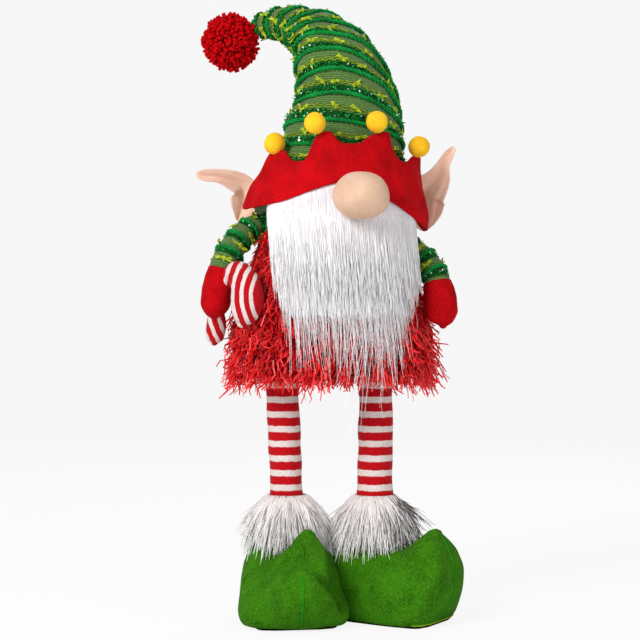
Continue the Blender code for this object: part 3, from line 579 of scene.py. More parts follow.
ring = add(yarn, "GeometryNodeCurvePrimitiveCircle", {"Resolution": inlet["Sides"], "Radius": 1.0})
line = add(
    yarn, "GeometryNodeCurveToMesh",
    {"Curve": line, "Profile Curve": ring, "Scale": thick, "Fill Caps": True},
)
line = add(yarn, "GeometryNodeRealizeInstances", {"Geometry": line})
line = add(yarn, "GeometryNodeSetMaterial", {"Geometry": line, "Material": inlet["Material"]})
yarn.links.new(line.outputs[0], outlet.inputs["Geometry"])


def mark(mesh, name, values, kind="FLOAT"):
    """Numbers or vectors on the mesh's points, under a name."""
    made = mesh.attributes.new(name, kind, "POINT")
    made.data.foreach_set("value" if kind == "FLOAT" else "vector", values)


def spin(name, lines, material, closed=False, **settings):
    """Yarn along lines of (point, outward direction, share of the radius)."""
    mesh = bpy.data.meshes.new(name)
    places, edges = [], []
    for line in lines:
        first = len(places)
        places += [row[0] for row in line]
        edges += [(first + k, first + k + 1) for k in range(len(line) - 1)]
        if closed:
            edges.append((first + len(line) - 1, first))
    mesh.from_pydata(places, edges, [])
    rows = [row for line in lines for row in line]
    mark(mesh, "out", [part for row in rows for part in row[1]], "FLOAT_VECTOR")
    mark(mesh, "size", [row[2] for row in rows])
    values = {"Strands": 1, "Spread": 0.0, "Pitch": 0.01, "Step": 0.002, "Sides": 5}
    values.update({"Wobble": 0.0, "Grain": 0.002, "Material": material})
    for title, value in settings.items():
        values[title.replace("_", " ")] = value
    piece = run_tree(show(name, mesh), yarn, values)
    piece.data.shade_smooth()
    return piece


for side, seam, edge in zip(("left", "right"), seam_lines, sole_lines):
    thread = spin("toe_seam_" + side, [seam], seam_thread, Radius=0.00085, Step=0.0015, Wobble=0.5)
    dressed(thread, "green_felt", "shoe_" + side)
    middle = sum(edge, Vector()) / len(edge)
    rows = [(p + (p - middle) * 0.032, Vector((0, 0, 1)), 1.0) for p in edge]
    welt = spin("welt_" + side, [rows], welt_felt, closed=True, Radius=0.0009, Step=0.003, Wobble=0.4)
    dressed(welt, "green_felt", "shoe_" + side)


# Legs and rods
#
# Each leg is a slim stuffed tube of red and white jersey round a wooden rod that holds it straight.
# The stripes run round it, and it is sewn into the shoe below and the body above.

LEG_RADIUS = 0.0163
LEG_FOOT = SHOE_TOP - 0.045
BODY_BASE = 0.2363
LEG_HEAD = BODY_BASE + 0.022
STRIPE_PITCH = 0.0143
RED_SHARE = 0.56


def striped(name, centre, pitch, first, round_line, solid=0.0):
    """Fine jersey in even red and white stripes: ribs of stitches show, and the dye edge wavers."""
    made, tree, shader = finish_named(name, Roughness=0.88, Specular_IOR_Level=0.12, Sheen_Weight=0.05)
    coords = add(tree, "ShaderNodeTexCoord").outputs["Object"]
    moved = add(tree, APART, (coords, centre))
    if round_line:
        flat = add(tree, VECTOR, (moved, (1, 0, 1)), operation="MULTIPLY")
        along = add(tree, VECTOR, (flat,), operation="LENGTH").outputs["Value"]
    else:
        along = add(tree, "ShaderNodeSeparateXYZ", {0: moved}).outputs["Z"]
    waver = add(tree, NOISE, {"Vector": coords, "Scale": 1 / 0.007, "Detail": 2.0})
    shift = add(tree, RANGE, {"Value": waver, "To Min": -0.0011, "To Max": 0.0011})
    place = add(tree, PLUS, (along, shift))
    turns = add(tree, OVER, (place, pitch))
    phase = add(tree, PLUS, (turns, first))
    part = add(tree, MATH, (phase,), operation="FRACT")
    edge = 0.045
    up = add(
        tree, RANGE, {"Value": part, "From Min": RED_SHARE - edge, "From Max": RED_SHARE + edge},
        interpolation_type="SMOOTHSTEP",
    )
    down = add(
        tree, RANGE,
        {"Value": part, "From Min": 1 - edge, "From Max": 1.0, "To Min": 1.0, "To Max": 0.0},
    )
    pale = add(tree, TIMES, (up, down))
    # Within the solid part there's only red, and its edge runs in teeth from stitch to stitch.
    height = add(tree, "ShaderNodeSeparateXYZ", {0: coords}).outputs["Z"]
    tooth = add(tree, MATH, (height, 0.0024), operation="PINGPONG")
    limit = add(tree, MATH, (tooth, 0.6, solid), operation="MULTIPLY_ADD")
    beyond = add(tree, MATH, (place, limit), operation="GREATER_THAN")
    pale = add(tree, TIMES, (pale, beyond))
    knit = add(tree, NOISE, {"Vector": coords, "Scale": 1 / 0.0013, "Detail": 2.0, "Roughness": 0.6})
    fleck = add(tree, RANGE, {"Value": knit, "From Min": 0.3, "From Max": 0.7})
    red = add(tree, MIX, {0: fleck, 6: tint("9E0410"), 7: tint("C40816")}, data_type="RGBA")
    white = add(tree, MIX, {0: fleck, 6: tint("CDBDB9"), 7: tint("E6DCD8")}, data_type="RGBA")
    cloth = add(tree, MIX, {0: pale, 6: red.outputs[2], 7: white.outputs[2]}, data_type="RGBA")
    bump = add(tree, "ShaderNodeBump", {"Height": knit, "Strength": 0.5, "Distance": 0.0005})
    tree.links.new(cloth.outputs[2], shader.inputs["Base Color"])
    tree.links.new(bump.outputs[0], shader.inputs["Normal"])
    return made


leg_jersey = striped("striped_cotton_jersey", (0, 0, LEG_FOOT), STRIPE_PITCH, 0.0, False)


def leg_middle(side, z):
    share = (z - SHOE_TOP) / (BODY_BASE - SHOE_TOP)
    return spot(ANKLES[side] + (HIPS[side] - ANKLES[side]) * share, 0, z)


# The right leg is stuffed fuller towards the ankle.
RIGHT_FULLNESS = 0.16
LEG_LEVELS = 60
LEG_AROUND = 32
for side in ("left", "right"):
    rings = []
    for n in range(LEG_LEVELS + 1):
        z = LEG_FOOT + (LEG_HEAD - LEG_FOOT) * n / LEG_LEVELS
        middle = leg_middle(side, z)
        ring = []
        for k in range(LEG_AROUND):
            angle = math.tau * k / LEG_AROUND
            out = Vector((math.sin(angle), -math.cos(angle), 0))
            soft = lump(middle + out * LEG_RADIUS, 0.022, 0.0014, 3)
            wide = 1 + RIGHT_FULLNESS * (1 - n / LEG_LEVELS) if side == "right" else 1
            ring.append(middle + out * (LEG_RADIUS * wide + soft - 0.0002))
        rings.append(ring)
    leg = skin("jersey_leg_" + side, rings, leg_jersey)
    dressed(leg, "striped_jersey", "leg_" + side, fill=0.9)

# Turned birch, hidden in the leg: pale with fine straight grain.
rod_wood, tree, shader = finish_named("turned_birch", Roughness=0.6)
coords = add(tree, "ShaderNodeTexCoord").outputs["Object"]
drawn = add(tree, "ShaderNodeMapping", {"Vector": coords, "Scale": (900, 900, 40)})
grain = add(tree, NOISE, {"Vector": drawn, "Scale": 1.0, "Detail": 3.0})
colour = add(tree, MIX, {0: grain, 6: tint("B8935F"), 7: tint("DCC096")}, data_type="RGBA")
tree.links.new(colour.outputs[2], shader.inputs["Base Color"])
for side in ("left", "right"):
    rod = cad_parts["leg_rod_" + side]
    for material_slot in rod.material_slots:
        material_slot.material = rod_wood


# Fur cuffs
#
# A band of long white fur fabric is sewn round each ankle and falls over the top of the shoe.
# Its strands spread down and outwards, and end in an uneven edge.

SEAM_CLEARANCE = 0.0006


# One tree makes every pile on the figure: strands that grow from a base mesh along its "flow",
# lean together in locks, kink, droop, and are kept out of the base that they lie on.
pile, inlet, outlet = new_tree(
    "pile",
    Float=(
        "Density", "Length", "Width", "Flatness", "Droop", "Lock Lean", "Lock Size", "Stray", "Kink",
        "Kink Length", "Cover", "Tip",
    ),
    Int=("Segments", "Sides", "Seed"),
    Bool=("Round",),
    Material=("Material",),
)
thick = add(pile, NAMED, {"Name": "thick"}, data_type="FLOAT")
dense = add(pile, TIMES, (inlet["Density"], thick))
kept = add(
    pile, "GeometryNodeDistributePointsOnFaces",
    {"Mesh": inlet["Geometry"], "Density": dense, "Seed": inlet["Seed"]}, distribute_method="RANDOM",
)
chance = add(
    pile, "FunctionNodeRandomValue", {0: (-1.0, -1.0, -1.0), 1: (1.0, 1.0, 1.0), "Seed": inlet["Seed"]},
    data_type="FLOAT_VECTOR",
).outputs[0]
luck = add(pile, "FunctionNodeRandomValue", {"Seed": inlet["Seed"]}, data_type="FLOAT").outputs[1]
for title, kind, value in (
    ("root", "FLOAT_VECTOR", add(pile, "GeometryNodeInputPosition")),
    ("chance", "FLOAT_VECTOR", chance), ("luck", "FLOAT", luck),
):
    kept = add(
        pile, "GeometryNodeStoreNamedAttribute", {"Geometry": kept, "Name": title, "Value": value},
        data_type=kind, domain="POINT",
    )
straight = add(pile, "GeometryNodeCurvePrimitiveLine", {"End": (0.0, 0.0, 1.0)})
points = add(pile, PLUS, (inlet["Segments"], 1.0))
straight = add(pile, "GeometryNodeResampleCurve", {"Curve": straight, "Count": points})
strands = add(pile, "GeometryNodeInstanceOnPoints", {"Points": kept, "Instance": straight})
strands = add(pile, "GeometryNodeRealizeInstances", {"Geometry": strands})
along = add(pile, "GeometryNodeSplineParameter").outputs["Factor"]
root, chance, flow = (
    add(pile, NAMED, {"Name": name}, data_type="FLOAT_VECTOR") for name in ("root", "chance", "flow")
)
luck, reach = (add(pile, NAMED, {"Name": name}, data_type="FLOAT") for name in ("luck", "reach"))
uneven = add(pile, MATH, (luck, 0.55, 0.62), operation="MULTIPLY_ADD")
length = add(pile, TIMES, (inlet["Length"], reach))
length = add(pile, TIMES, (length, uneven))
gone = add(pile, TIMES, (length, along))
late = add(pile, TIMES, (gone, along))
lean = add(pile, SCALED, {0: flow, "Scale": gone})
fall = add(pile, TIMES, (late, inlet["Droop"]))
fall = add(pile, SCALED, {0: (0.0, 0.0, -1.0), "Scale": fall})
finer = add(pile, OVER, (1.0, inlet["Lock Size"]))
cell = add(pile, SCALED, {0: root, "Scale": finer})
lock = add(pile, NOISE, {"Vector": cell, "Scale": 1.0, "Detail": 1.0}).outputs["Color"]
lock = add(pile, APART, (lock, (0.5, 0.5, 0.5)))
tight = add(pile, TIMES, (gone, inlet["Lock Lean"]))
lock = add(pile, SCALED, {0: lock, "Scale": tight})
wild = add(pile, TIMES, (late, inlet["Stray"]))
stray = add(pile, SCALED, {0: chance, "Scale": wild})
waves = add(pile, OVER, (gone, inlet["Kink Length"]))
cell = add(pile, SCALED, {0: (1.0, 1.3, 0.7), "Scale": waves})
apart = add(pile, SCALED, {0: chance, "Scale": 40.0})
cell = add(pile, MOVED, (apart, cell))
kink = add(pile, NOISE, {"Vector": cell, "Scale": 1.0, "Detail": 0.0}).outputs["Color"]
kink = add(pile, APART, (kink, (0.5, 0.5, 0.5)))
grown = add(pile, MATH, (along, 3.0), operation="MULTIPLY", use_clamp=True)
bent = add(pile, TIMES, (inlet["Kink"], grown))
kink = add(pile, SCALED, {0: kink, "Scale": bent})
line = root
for shift in (lean, fall, lock, stray, kink):
    line = add(pile, MOVED, (line, shift))
strands = add(pile, "GeometryNodeSetPosition", {"Geometry": strands, "Position": line})
where = add(pile, "GeometryNodeInputPosition")
nearest = {"Mesh": inlet["Geometry"], "Sample Position": where}
near = add(
    pile, "GeometryNodeSampleNearestSurface", {**nearest, "Value": where}, data_type="FLOAT_VECTOR"
)
facing = add(pile, "GeometryNodeInputNormal")
out = add(
    pile, "GeometryNodeSampleNearestSurface", {**nearest, "Value": facing}, data_type="FLOAT_VECTOR"
)
away = add(pile, APART, (where, near))
depth = add(pile, VECTOR, (away, out), operation="DOT_PRODUCT").outputs["Value"]
cover = add(pile, PLUS, (luck, 0.2))
cover = add(pile, TIMES, (cover, inlet["Cover"]))
cover = add(pile, TIMES, (cover, along))
lift = add(pile, MINUS, (cover, depth))
lift = add(pile, MATH, (lift, 0.0), operation="MAXIMUM")
lift = add(pile, SCALED, {0: out, "Scale": lift})
strands = add(pile, "GeometryNodeSetPosition", {"Geometry": strands, "Offset": lift})
strands = add(
    pile, "GeometryNodeStoreNamedAttribute", {"Geometry": strands, "Name": "along", "Value": along},
    data_type="FLOAT", domain="POINT",
)
turned = add(pile, TIMES, (luck, 60.0))
strands = add(pile, "GeometryNodeSetCurveTilt", {"Curve": strands, "Tilt": turned})
section = add(pile, "GeometryNodeCurvePrimitiveCircle", {"Resolution": inlet["Sides"], "Radius": 0.5})
shape = add(pile, "ShaderNodeCombineXYZ", {"X": 1.0, "Y": inlet["Flatness"], "Z": 1.0})
section = add(pile, "GeometryNodeTransform", {"Geometry": section, "Scale": shape})
narrow = add(pile, MINUS, (1.0, inlet["Tip"]))
narrow = add(pile, TIMES, (narrow, add(pile, MATH, (along, 2.0), operation="POWER")))
taper = add(pile, MINUS, (1.0, narrow))
scale = add(pile, TIMES, (inlet["Width"], taper))
strands = add(
    pile, "GeometryNodeCurveToMesh",
    {"Curve": strands, "Profile Curve": section, "Scale": scale, "Fill Caps": True},
)
strands = add(pile, "GeometryNodeSetShadeSmooth", {"Geometry": strands, "Shade Smooth": inlet["Round"]})
strands = add(pile, "GeometryNodeRealizeInstances", {"Geometry": strands})
strands = add(pile, "GeometryNodeSetMaterial", {"Geometry": strands, "Material": inlet["Material"]})
pile.links.new(strands.outputs[0], outlet.inputs["Geometry"])


def grow(name, base, material, comb, **settings):
    """Strands on a base. comb(vertex) gives their direction, length share and density share."""
    piece = show(name, base.data.copy())
    rows = [comb(vert) for vert in piece.data.vertices]
    mark(piece.data, "flow", [part for row in rows for part in row[0].normalized()], "FLOAT_VECTOR")
    mark(piece.data, "reach", [row[1] for row in rows])
    mark(piece.data, "thick", [row[2] for row in rows])
    values = {
        "Flatness": 1.0, "Segments": 4, "Droop": 0.0, "Lock Lean": 0.0, "Lock Size": 0.012,
        "Stray": 0.0, "Kink": 0.0, "Kink Length": 0.008, "Cover": 0.0, "Sides": 3, "Tip": 0.25,
        "Round": True, "Seed": 1,
    }
    for title, value in settings.items():
        values[title.replace("_", " ")] = value
    values["Material"] = material
    return run_tree(piece, pile, values)


def strand_look(name, root_colour, middle, tip_colour, roughness, sheen=0.0, metallic=0.0, gloss=0.5):
    """A strand's finish: one colour at its root and another at its tip, and each a little its own."""
    made, tree, shader = finish_named(
        name, Roughness=roughness, Metallic=metallic, Specular_IOR_Level=gloss, Sheen_Weight=sheen
    )
    far = add(tree, "ShaderNodeAttribute", attribute_name="along").outputs["Fac"]
    own = add(tree, "ShaderNodeAttribute", attribute_name="luck").outputs["Fac"]
    ramp = add(tree, "ShaderNodeValToRGB", {"Fac": far})
    ramp.color_ramp.elements[0].color = tint(root_colour)
    ramp.color_ramp.elements[1].color = tint(tip_colour)
    ramp.color_ramp.elements.new(0.35).color = tint(middle)
    shade = add(tree, RANGE, {"Value": own, "To Min": 0.8, "To Max": 1.04})
    varied = add(tree, "ShaderNodeHueSaturation", {"Color": ramp, "Value": shade})
    tree.links.new(varied.outputs[0], shader.inputs["Base Color"])
    return made


# Long acrylic fur: white, a touch warm grey at the root as painted shade deep in the pile,
# each strand soft and slightly glossy.
cuff_fur = strand_look("white_acrylic_fur", "F4ECEA", "FBF7F6", "FFFEFE", 0.6, sheen=0.4)
# Some strands at the outside of the cuffs are drawn a brownish grey.
brownish_fur = strand_look("tinged_acrylic_fur", "6E6058", "9C8A80", "C2B2A8", 0.6)
# The right cuff's outer strands on its right side are drawn dark grey.
grey_fur = strand_look("grey_acrylic_fur", "1E1E20", "3E3E40", "6A686A", 0.6)
# The knitted backing that the fur grows from.
fur_back = felt("fur_backing", "E6DEDC", "D0C6C4", "F2EEEC")

CUFF_AROUND = 48
CUFF_FOOT = 0.093
CUFF_RISE = 0.028
# The right cuff is cut wider, for the fuller leg.
RIGHT_EASE = 0.0016
for side in ("left", "right"):
    bore = LEG_RADIUS + SEAM_CLEARANCE
    if side == "right":
        bore += RIGHT_EASE
    outline = (
        (bore, 0.1190), (bore + 0.0016, 0.1212), (0.0225, 0.1190), (0.0285, 0.1130), (0.0325, 0.1050),
        (0.0345, 0.0975), (0.0340, 0.0935), (0.0300, 0.0930), (bore, 0.0935),
    )
    rings = []
    for r, z in outline:
        turns = [math.tau * k / CUFF_AROUND for k in range(CUFF_AROUND)]
        rings.append([leg_middle(side, z) + Vector((math.sin(a), -math.cos(a), 0)) * r for a in turns])
    cuff = skin("cuff_backing_" + side, rings, fur_back)
    dressed(cuff, "white_fur", "fur_cuff_" + side)

    def cuff_comb(vert):
        middle = leg_middle(side, vert.co.z)
        out = Vector((vert.co.x - middle.x, vert.co.y - middle.y, 0)).normalized()
        height = (vert.co.z - CUFF_FOOT) / CUFF_RISE
        outer = 0.0 if vert.normal.dot(out) < 0.05 and height < 0.8 else 1.0
        near_bore = (vert.co - middle).to_2d().length < 0.0175
        way = out * (0.20 + 0.58 * max(0.0, height)) + Vector((0, 0, -0.86 + 0.10 * height))
        return way, 0.75 if near_bore else 1.0, outer

    def grey_comb(vert):
        way, share, outer = cuff_comb(vert)
        aside = vert.co.x - leg_middle(side, vert.co.z).x
        return way, share, outer * held((aside - 0.010) / 0.008)

    for name, look, density, length, stray, seed in (
        ("cuff_fur_", cuff_fur, 290000.0, 0.0245, 0.16, 11),
        ("cuff_tinged_fur_", brownish_fur, 34000.0, 0.022, 0.34, 13),
        ("cuff_grey_fur_", grey_fur, 150000.0, 0.030, 0.5, 15),
    ):
        if look is grey_fur and side == "left":
            continue
        fur = grow(
            name + side, cuff, look, grey_comb if look is grey_fur else cuff_comb, Density=density,
            Length=length, Width=0.0012 if look is cuff_fur else 0.0009, Droop=0.34, Lock_Lean=0.95,
            Lock_Size=0.010, Stray=stray, Kink=0.0016, Kink_Length=0.012,
            Seed=seed + (0 if side == "left" else 1),
        )
        dressed(fur, "white_fur", "fur_cuff_" + side)


# Body
#
# The body is a stuffed pear of red cloth, drawn dark as painted shade, under a pile of red foil tinsel.
# The tinsel lies down near the neck, stands off at the sides, and hangs below the hem as a fringe.

BODY_HEIGHT = 0.162
BODY_HALF_WIDTH = 0.098
BODY_DEPTH_SHARE = 0.88
BODY_TOP = BODY_BASE + BODY_HEIGHT
BODY_OUTLINE = (
    (0.000, 0.985), (0.100, 1.000), (0.230, 1.000), (0.400, 0.965), (0.560, 0.900), (0.720, 0.815),
    (0.870, 0.725), (1.000, 0.630),
)


def body_radius(z):
    return BODY_HALF_WIDTH * eased(BODY_OUTLINE, (z - BODY_BASE) / BODY_HEIGHT)


def body_point(angle, z, radius):
    return spot(BODY_X + radius * math.sin(angle), -radius * BODY_DEPTH_SHARE * math.cos(angle), z)


# Red plush under the tinsel, drawn dark as painted shade: it only shows as depth between the strands.
plush = felt("red_plush_painted_shade", "7A0410", "4E0009", "9C1220")
# Red polyester foil, slit into narrow strips with satin faces: drawn deep red at the root as
# painted shade between the strands, and brightest at the tip as painted light.
tinsel_look = strand_look("red_foil_tinsel", "94000C", "DA0A12", "F2161A", 0.45, metallic=0.1)

BODY_SINK = 0.005
BODY_AROUND = 64
BODY_LEVELS = 24
rings = []
for inset in (0.25, 0.6, 0.86, 0.97):
    z = BODY_BASE + 0.004 + (1 - inset) * 0.002
    radius = (BODY_HALF_WIDTH - BODY_SINK) * inset
    rings.append([body_point(math.tau * k / BODY_AROUND, z, radius) for k in range(BODY_AROUND)])
for n in range(BODY_LEVELS + 1):
    z = BODY_BASE + 0.008 + (BODY_HEIGHT - 0.009) * n / BODY_LEVELS
    ring = []
    for k in range(BODY_AROUND):
        angle = math.tau * k / BODY_AROUND
        radius = body_radius(z) - BODY_SINK
        radius += lump(body_point(angle, z, radius), 0.03, 0.003, 5)
        ring.append(body_point(angle, z, radius))
    rings.append(ring)
body = skin("plush_body", rings, plush)
dressed(body, "red_tinsel", "body", fill=0.9)


def tinsel_comb(vert):
    middle = spot(BODY_X, 0, vert.co.z)
    out = Vector((vert.co.x - middle.x, vert.co.y - middle.y, 0)).normalized()
    height = (vert.co.z - BODY_BASE) / BODY_HEIGHT
    if vert.normal.z < -0.6:
        return out * 0.9 + Vector((0, 0, -1.0)), 0.6, 0.35
    lift = 0.36 + 0.30 * (1 - height) ** 2
    share = 0.72 + 0.22 * (1 - height)
    # Under the beard the strands are pressed flat.
    pressed = vert.co.y < -0.015 and abs(vert.co.x - X0 - 0.012) < 0.055 and vert.co.z > 0.265
    if pressed:
        share, lift = share * 0.55, lift * 0.5
    return out * lift + Vector((0, 0, -1)), share, 0.0 if height > 0.97 else 1.0


for number, seed in ((1, 21), (2, 22)):
    tinsel = grow(
        "tinsel_pile_%d" % number, body, tinsel_look, tinsel_comb, Density=27000.0, Length=0.0215,
        Width=0.0024, Flatness=0.4, Segments=5, Droop=0.16, Lock_Lean=1.2, Lock_Size=0.010, Stray=0.40,
        Kink=0.013, Kink_Length=0.0060, Tip=0.6, Round=False, Seed=seed,
    )
    dressed(tinsel, "red_tinsel", "body")


# Hat
#
# The hat is a stuffed cone of olive knit that curls to one side. Chenille cords, bands of dark green
# tinsel yarn and lines of yellow-green yarn with tufts are knitted in round it, all a little tilted.

HAT_HEM = BODY_TOP + 0.0003
HAT_HEIGHT = 0.187
HAT_HEM_RADIUS = 0.080
HAT_STATIONS = (
    (0.040, 0.000, 1.000), (0.042, 0.080, 0.965), (0.054, 0.195, 0.890), (0.073, 0.325, 0.800),
    (0.088, 0.465, 0.735), (0.092, 0.565, 0.675), (0.080, 0.645, 0.625), (0.048, 0.750, 0.570),
    (-0.005, 0.840, 0.490), (-0.068, 0.915, 0.390), (-0.126, 0.952, 0.305), (-0.200, 0.983, 0.245),
    (-0.268, 0.991, 0.196), (-0.358, 0.978, 0.141), (-0.411, 0.959, 0.072),
)


def flowing(rows, count):
    """Rows of numbers read evenly along a smooth curve through the given rows, and its length."""
    dense = []
    for i in range(len(rows) - 1):
        around = [rows[max(i - 1, 0)], rows[i], rows[i + 1], rows[min(i + 2, len(rows) - 1)]]
        for k in range(24):
            t = k / 24
            dense.append(
                [
                    0.5
                    * (
                        2 * b
                        + (c - a) * t
                        + (2 * a - 5 * b + 4 * c - d) * t * t
                        + (3 * b - a - 3 * c + d) * t**3
                    )
                    for a, b, c, d in zip(*around)
                ]
            )
    dense.append(list(rows[-1]))
    gone = [0.0]
    for a, b in zip(dense, dense[1:]):
        gone.append(gone[-1] + math.dist(a[:3], b[:3]))
    found, k = [], 0
    for n in range(count):
        at = gone[-1] * n / (count - 1)
        while k < len(gone) - 2 and gone[k + 1] < at:
            k += 1
        t = (at - gone[k]) / (gone[k + 1] - gone[k])
        found.append([p + (q - p) * t for p, q in zip(dense[k], dense[k + 1])])
    return found, gone[-1]


HAT_STEPS = 400
hat_line, HAT_LENGTH = flowing(
    [(x * HAT_HEIGHT, 0.0, HAT_HEM + z * HAT_HEIGHT, r * HAT_HEM_RADIUS) for x, z, r in HAT_STATIONS],
    HAT_STEPS + 1,
)


# The knit is drawn tighter over its stuffing above the brim.
HAT_DRAW = 0.05


def hat_spot(s, azimuth, proud=0.0):
    """A point of the hat: s along its middle line from the hem, azimuth round it from the front."""
    at = held(s / HAT_LENGTH) * HAT_STEPS
    k = min(int(at), HAT_STEPS - 1)
    row = [p + (q - p) * (at - k) for p, q in zip(hat_line[k], hat_line[k + 1])]
    before, after = hat_line[max(0, k - 6)], hat_line[min(HAT_STEPS, k + 7)]
    ahead = Vector((after[0] - before[0], 0, after[2] - before[2])).normalized()
    upright = max(0.0, 1 - s / 0.03)
    ahead = ahead.lerp(Vector((0, 0, 1)), upright).normalized()
    side = Vector((ahead.z, 0, -ahead.x))
    out = side * math.sin(azimuth) + Vector((0, -1, 0)) * math.cos(azimuth)
    drawn = 1 - HAT_DRAW * min(1.0, max(0.0, s - 0.02) / 0.04)
    return spot(*row[:3]) + out * (row[3] * drawn + proud), row[3], out


# How far each line of the knit is tilted, over its place up the hat: higher in front by the first
# share of the hat's radius, and lower on the right by the second.
FRONT_TILTS = ((0.030, 0.10), (0.075, 0.14), (0.115, 0.28), (0.150, 0.60), (0.185, 0.68), (0.225, 0.50))
SIDE_TILTS = ((0.030, 0.00), (0.075, 0.05), (0.115, 0.38), (0.150, 0.70), (0.185, 0.48), (0.225, 0.20))


def band_point(b, azimuth, proud=0.0):
    """A point on the band line b metres up the hat, and the way out of the hat there."""
    radius = hat_spot(b, 0)[1]
    fade = min(1.0, b / 0.04)
    front, side = eased(FRONT_TILTS, b), eased(SIDE_TILTS, b)
    tilt = radius * fade * (front * math.cos(azimuth) - side * math.sin(azimuth))
    place, _, out = hat_spot(max(0.0, min(b + tilt, HAT_LENGTH)), azimuth, proud)
    return place, out


# The cords' places up the hat.
CORDS = (
    0.0060, 0.0285, 0.0515, 0.0752, 0.1000, 0.1205, 0.1370, 0.1550, 0.1735, 0.1900, 0.2070, 0.2230,
    0.2370,
)


def hat_zone(b):
    """What the knit is at b: its place in the period above the cord below, and the period."""
    below = max([c for c in CORDS if c <= b], default=CORDS[0] - 0.022)
    above = min([c for c in CORDS if c > b], default=below + 0.016)
    return b - below, above - below


HAT_AROUND = 96
HAT_RINGS = 200
rings = []
for n in range(HAT_RINGS + 1):
    b = HAT_LENGTH * n / HAT_RINGS
    up, period = hat_zone(b)
    fat = math.sin(math.pi * held(up / period))
    ring = []
    for k in range(HAT_AROUND):
        azimuth = math.tau * k / HAT_AROUND
        place, out = band_point(b, azimuth)
        swell = 0.0004 * fat - 0.0012 + lump(place, 0.02, 0.0016, 6)
        ring.append(place + out * swell * min(1.0, b / 0.01))
    rings.append(ring)

# The knit is drawn on the map of the cloth: its first number runs round the hat, its second up it,
# both in metres. Fine rows 1.9 mm apart, in two greens that wander; the darker green lies in the
# rows' hollows as painted shade.
hat_knit, tree, shader = finish_named(
    "olive_lambswool_knit", Roughness=0.92, Sheen_Weight=0.2, Specular_IOR_Level=0.2
)
coords = add(tree, "ShaderNodeUVMap", uv_map="cloth").outputs[0]
place = add(tree, "ShaderNodeTexCoord").outputs["Object"]
parts = add(tree, "ShaderNodeSeparateXYZ", {0: coords})
waver = add(tree, NOISE, {"Vector": place, "Scale": 1 / 0.006, "Detail": 3.0})
bent = add(tree, RANGE, {"Value": waver, "To Min": -0.0012, "To Max": 0.0012})
rise = add(tree, PLUS, (parts.outputs["Y"], bent))
rows = add(tree, TIMES, (rise, math.tau / 0.0019))
wave = add(tree, MATH, (rows,), operation="SINE")
stretched = add(tree, "ShaderNodeMapping", {"Vector": coords, "Scale": (420, 900, 1)})
loops = add(tree, NOISE, {"Vector": stretched, "Scale": 1.0, "Detail": 2.0})
height = add(tree, TIMES, (wave, 0.28))
height = add(tree, PLUS, (height, loops))
# The greens follow the bump's height, so the hollows of the rows are darker: painted shade.
light = add(tree, RANGE, {"Value": height, "From Min": 0.2, "From Max": 0.8})
knit = add(tree, MIX, {0: light, 6: tint("35561C"), 7: tint("648746")}, data_type="RGBA")
bump = add(tree, "ShaderNodeBump", {"Height": height, "Strength": 0.8, "Distance": 0.0009})
tree.links.new(knit.outputs[2], shader.inputs["Base Color"])
tree.links.new(bump.outputs[0], shader.inputs["Normal"])

# The hat's middle radius, which sets how wide its cloth is.
CLOTH_RADIUS = 0.065


def hat_cloth(ring, point):
    return point / HAT_AROUND * math.tau * CLOTH_RADIUS, HAT_LENGTH * ring / HAT_RINGS


hat = skin("knit_hat", rings, hat_knit, hat_cloth)
# Yarn wound with dark green metal strip: a dark ground for its glints.
dark_band = felt("dark_green_metal_yarn", "0F4A1A", "052A0C", "1E7A30", fibre=0.0022)
hat.data.materials.append(dark_band)
# The band runs from just above a cord to a share of the way to the next.
DARK_BAND = (0.0012, 0.34)


def banded(index, above=0.0):
    """Whether the point of the hat's mesh, or one above it, is in a dark band: 1 or 0."""
    up, period = hat_zone(HAT_LENGTH * (index // HAT_AROUND + above) / HAT_RINGS)
    return int(DARK_BAND[0] < up < DARK_BAND[1] * period)


for face in hat.data.polygons:
    face.material_index = banded(face.vertices[0], 0.5)
dressed(hat, "hat_knit", "hat", fill=0.9)

# Chenille cord: short bright green pile twisted on a core, so it is matt with dark gaps.
chenille = felt("bright_green_chenille", "058C38", "035C22", "30AE58", fibre=0.0014, sheen=0.1)


def band_line(b, count, wave=0.0, waves=1, proud=0.0):
    """A line round the hat at b, waved up and down, begun at the back."""
    radius = hat_spot(b, 0)[1]
    line = []
    for k in range(count):
        azimuth = math.pi + math.tau * k / count
        at = b + wave * math.sin(azimuth * waves)
        place, out = band_point(at, azimuth, proud)
        line.append((place, out, min(1.0, 0.5 + radius / 0.10)))
    return line


# The cords are twisted from two strands, and their pile makes them uneven.
CORD = {"Strands": 2, "Pitch": 0.0095, "Step": 0.0018, "Sides": 5, "Wobble": 1.0, "Grain": 0.0018}
cord_lines = [band_line(b, 120, proud=0.0008) for b in CORDS]
cords = spin("chenille_cords", cord_lines, chenille, closed=True, Radius=0.00145, Spread=0.0011, **CORD)
dressed(cords, "hat_knit", "hat")

# Thin mercerised cotton, yellow-green: it waves across the knit between the cords.
lime_yarn = felt("lime_cotton_yarn", "8CA426", "6A8618", "B4C444", fibre=0.0012)
lime_lines = []
for low, high in zip(CORDS, CORDS[1:]):
    for place, thinness in ((0.41, 1.0), (0.50, 0.8)):
        b = low + place * (high - low)
        waves = max(4, round(hat_spot(b, 0)[1] * 560 + place * 20))
        line = band_line(b, 150, 0.0010, waves, 0.0002)
        lime_lines.append([(point, out, size * thinness) for point, out, size in line])
lime = spin("lime_yarn", lime_lines, lime_yarn, closed=True, Radius=0.0006, Step=0.0025, Sides=4, Wobble=1.2)
dressed(lime, "hat_knit", "hat")


# Bow-like tufts of the same yarn every 23 mm, each opened out to both sides.
# Drawn darker than the yarn at the root as painted shade, and paler at the tip as painted light.
lime_tuft = strand_look("lime_cotton_tuft", "7E960E", "AABE1E", "C4D442", 0.8, gloss=0.2)
TUFT_PITCH = 0.0235
TUFT_SPREAD = 0.0013
TUFT_DEPTH = 0.0011


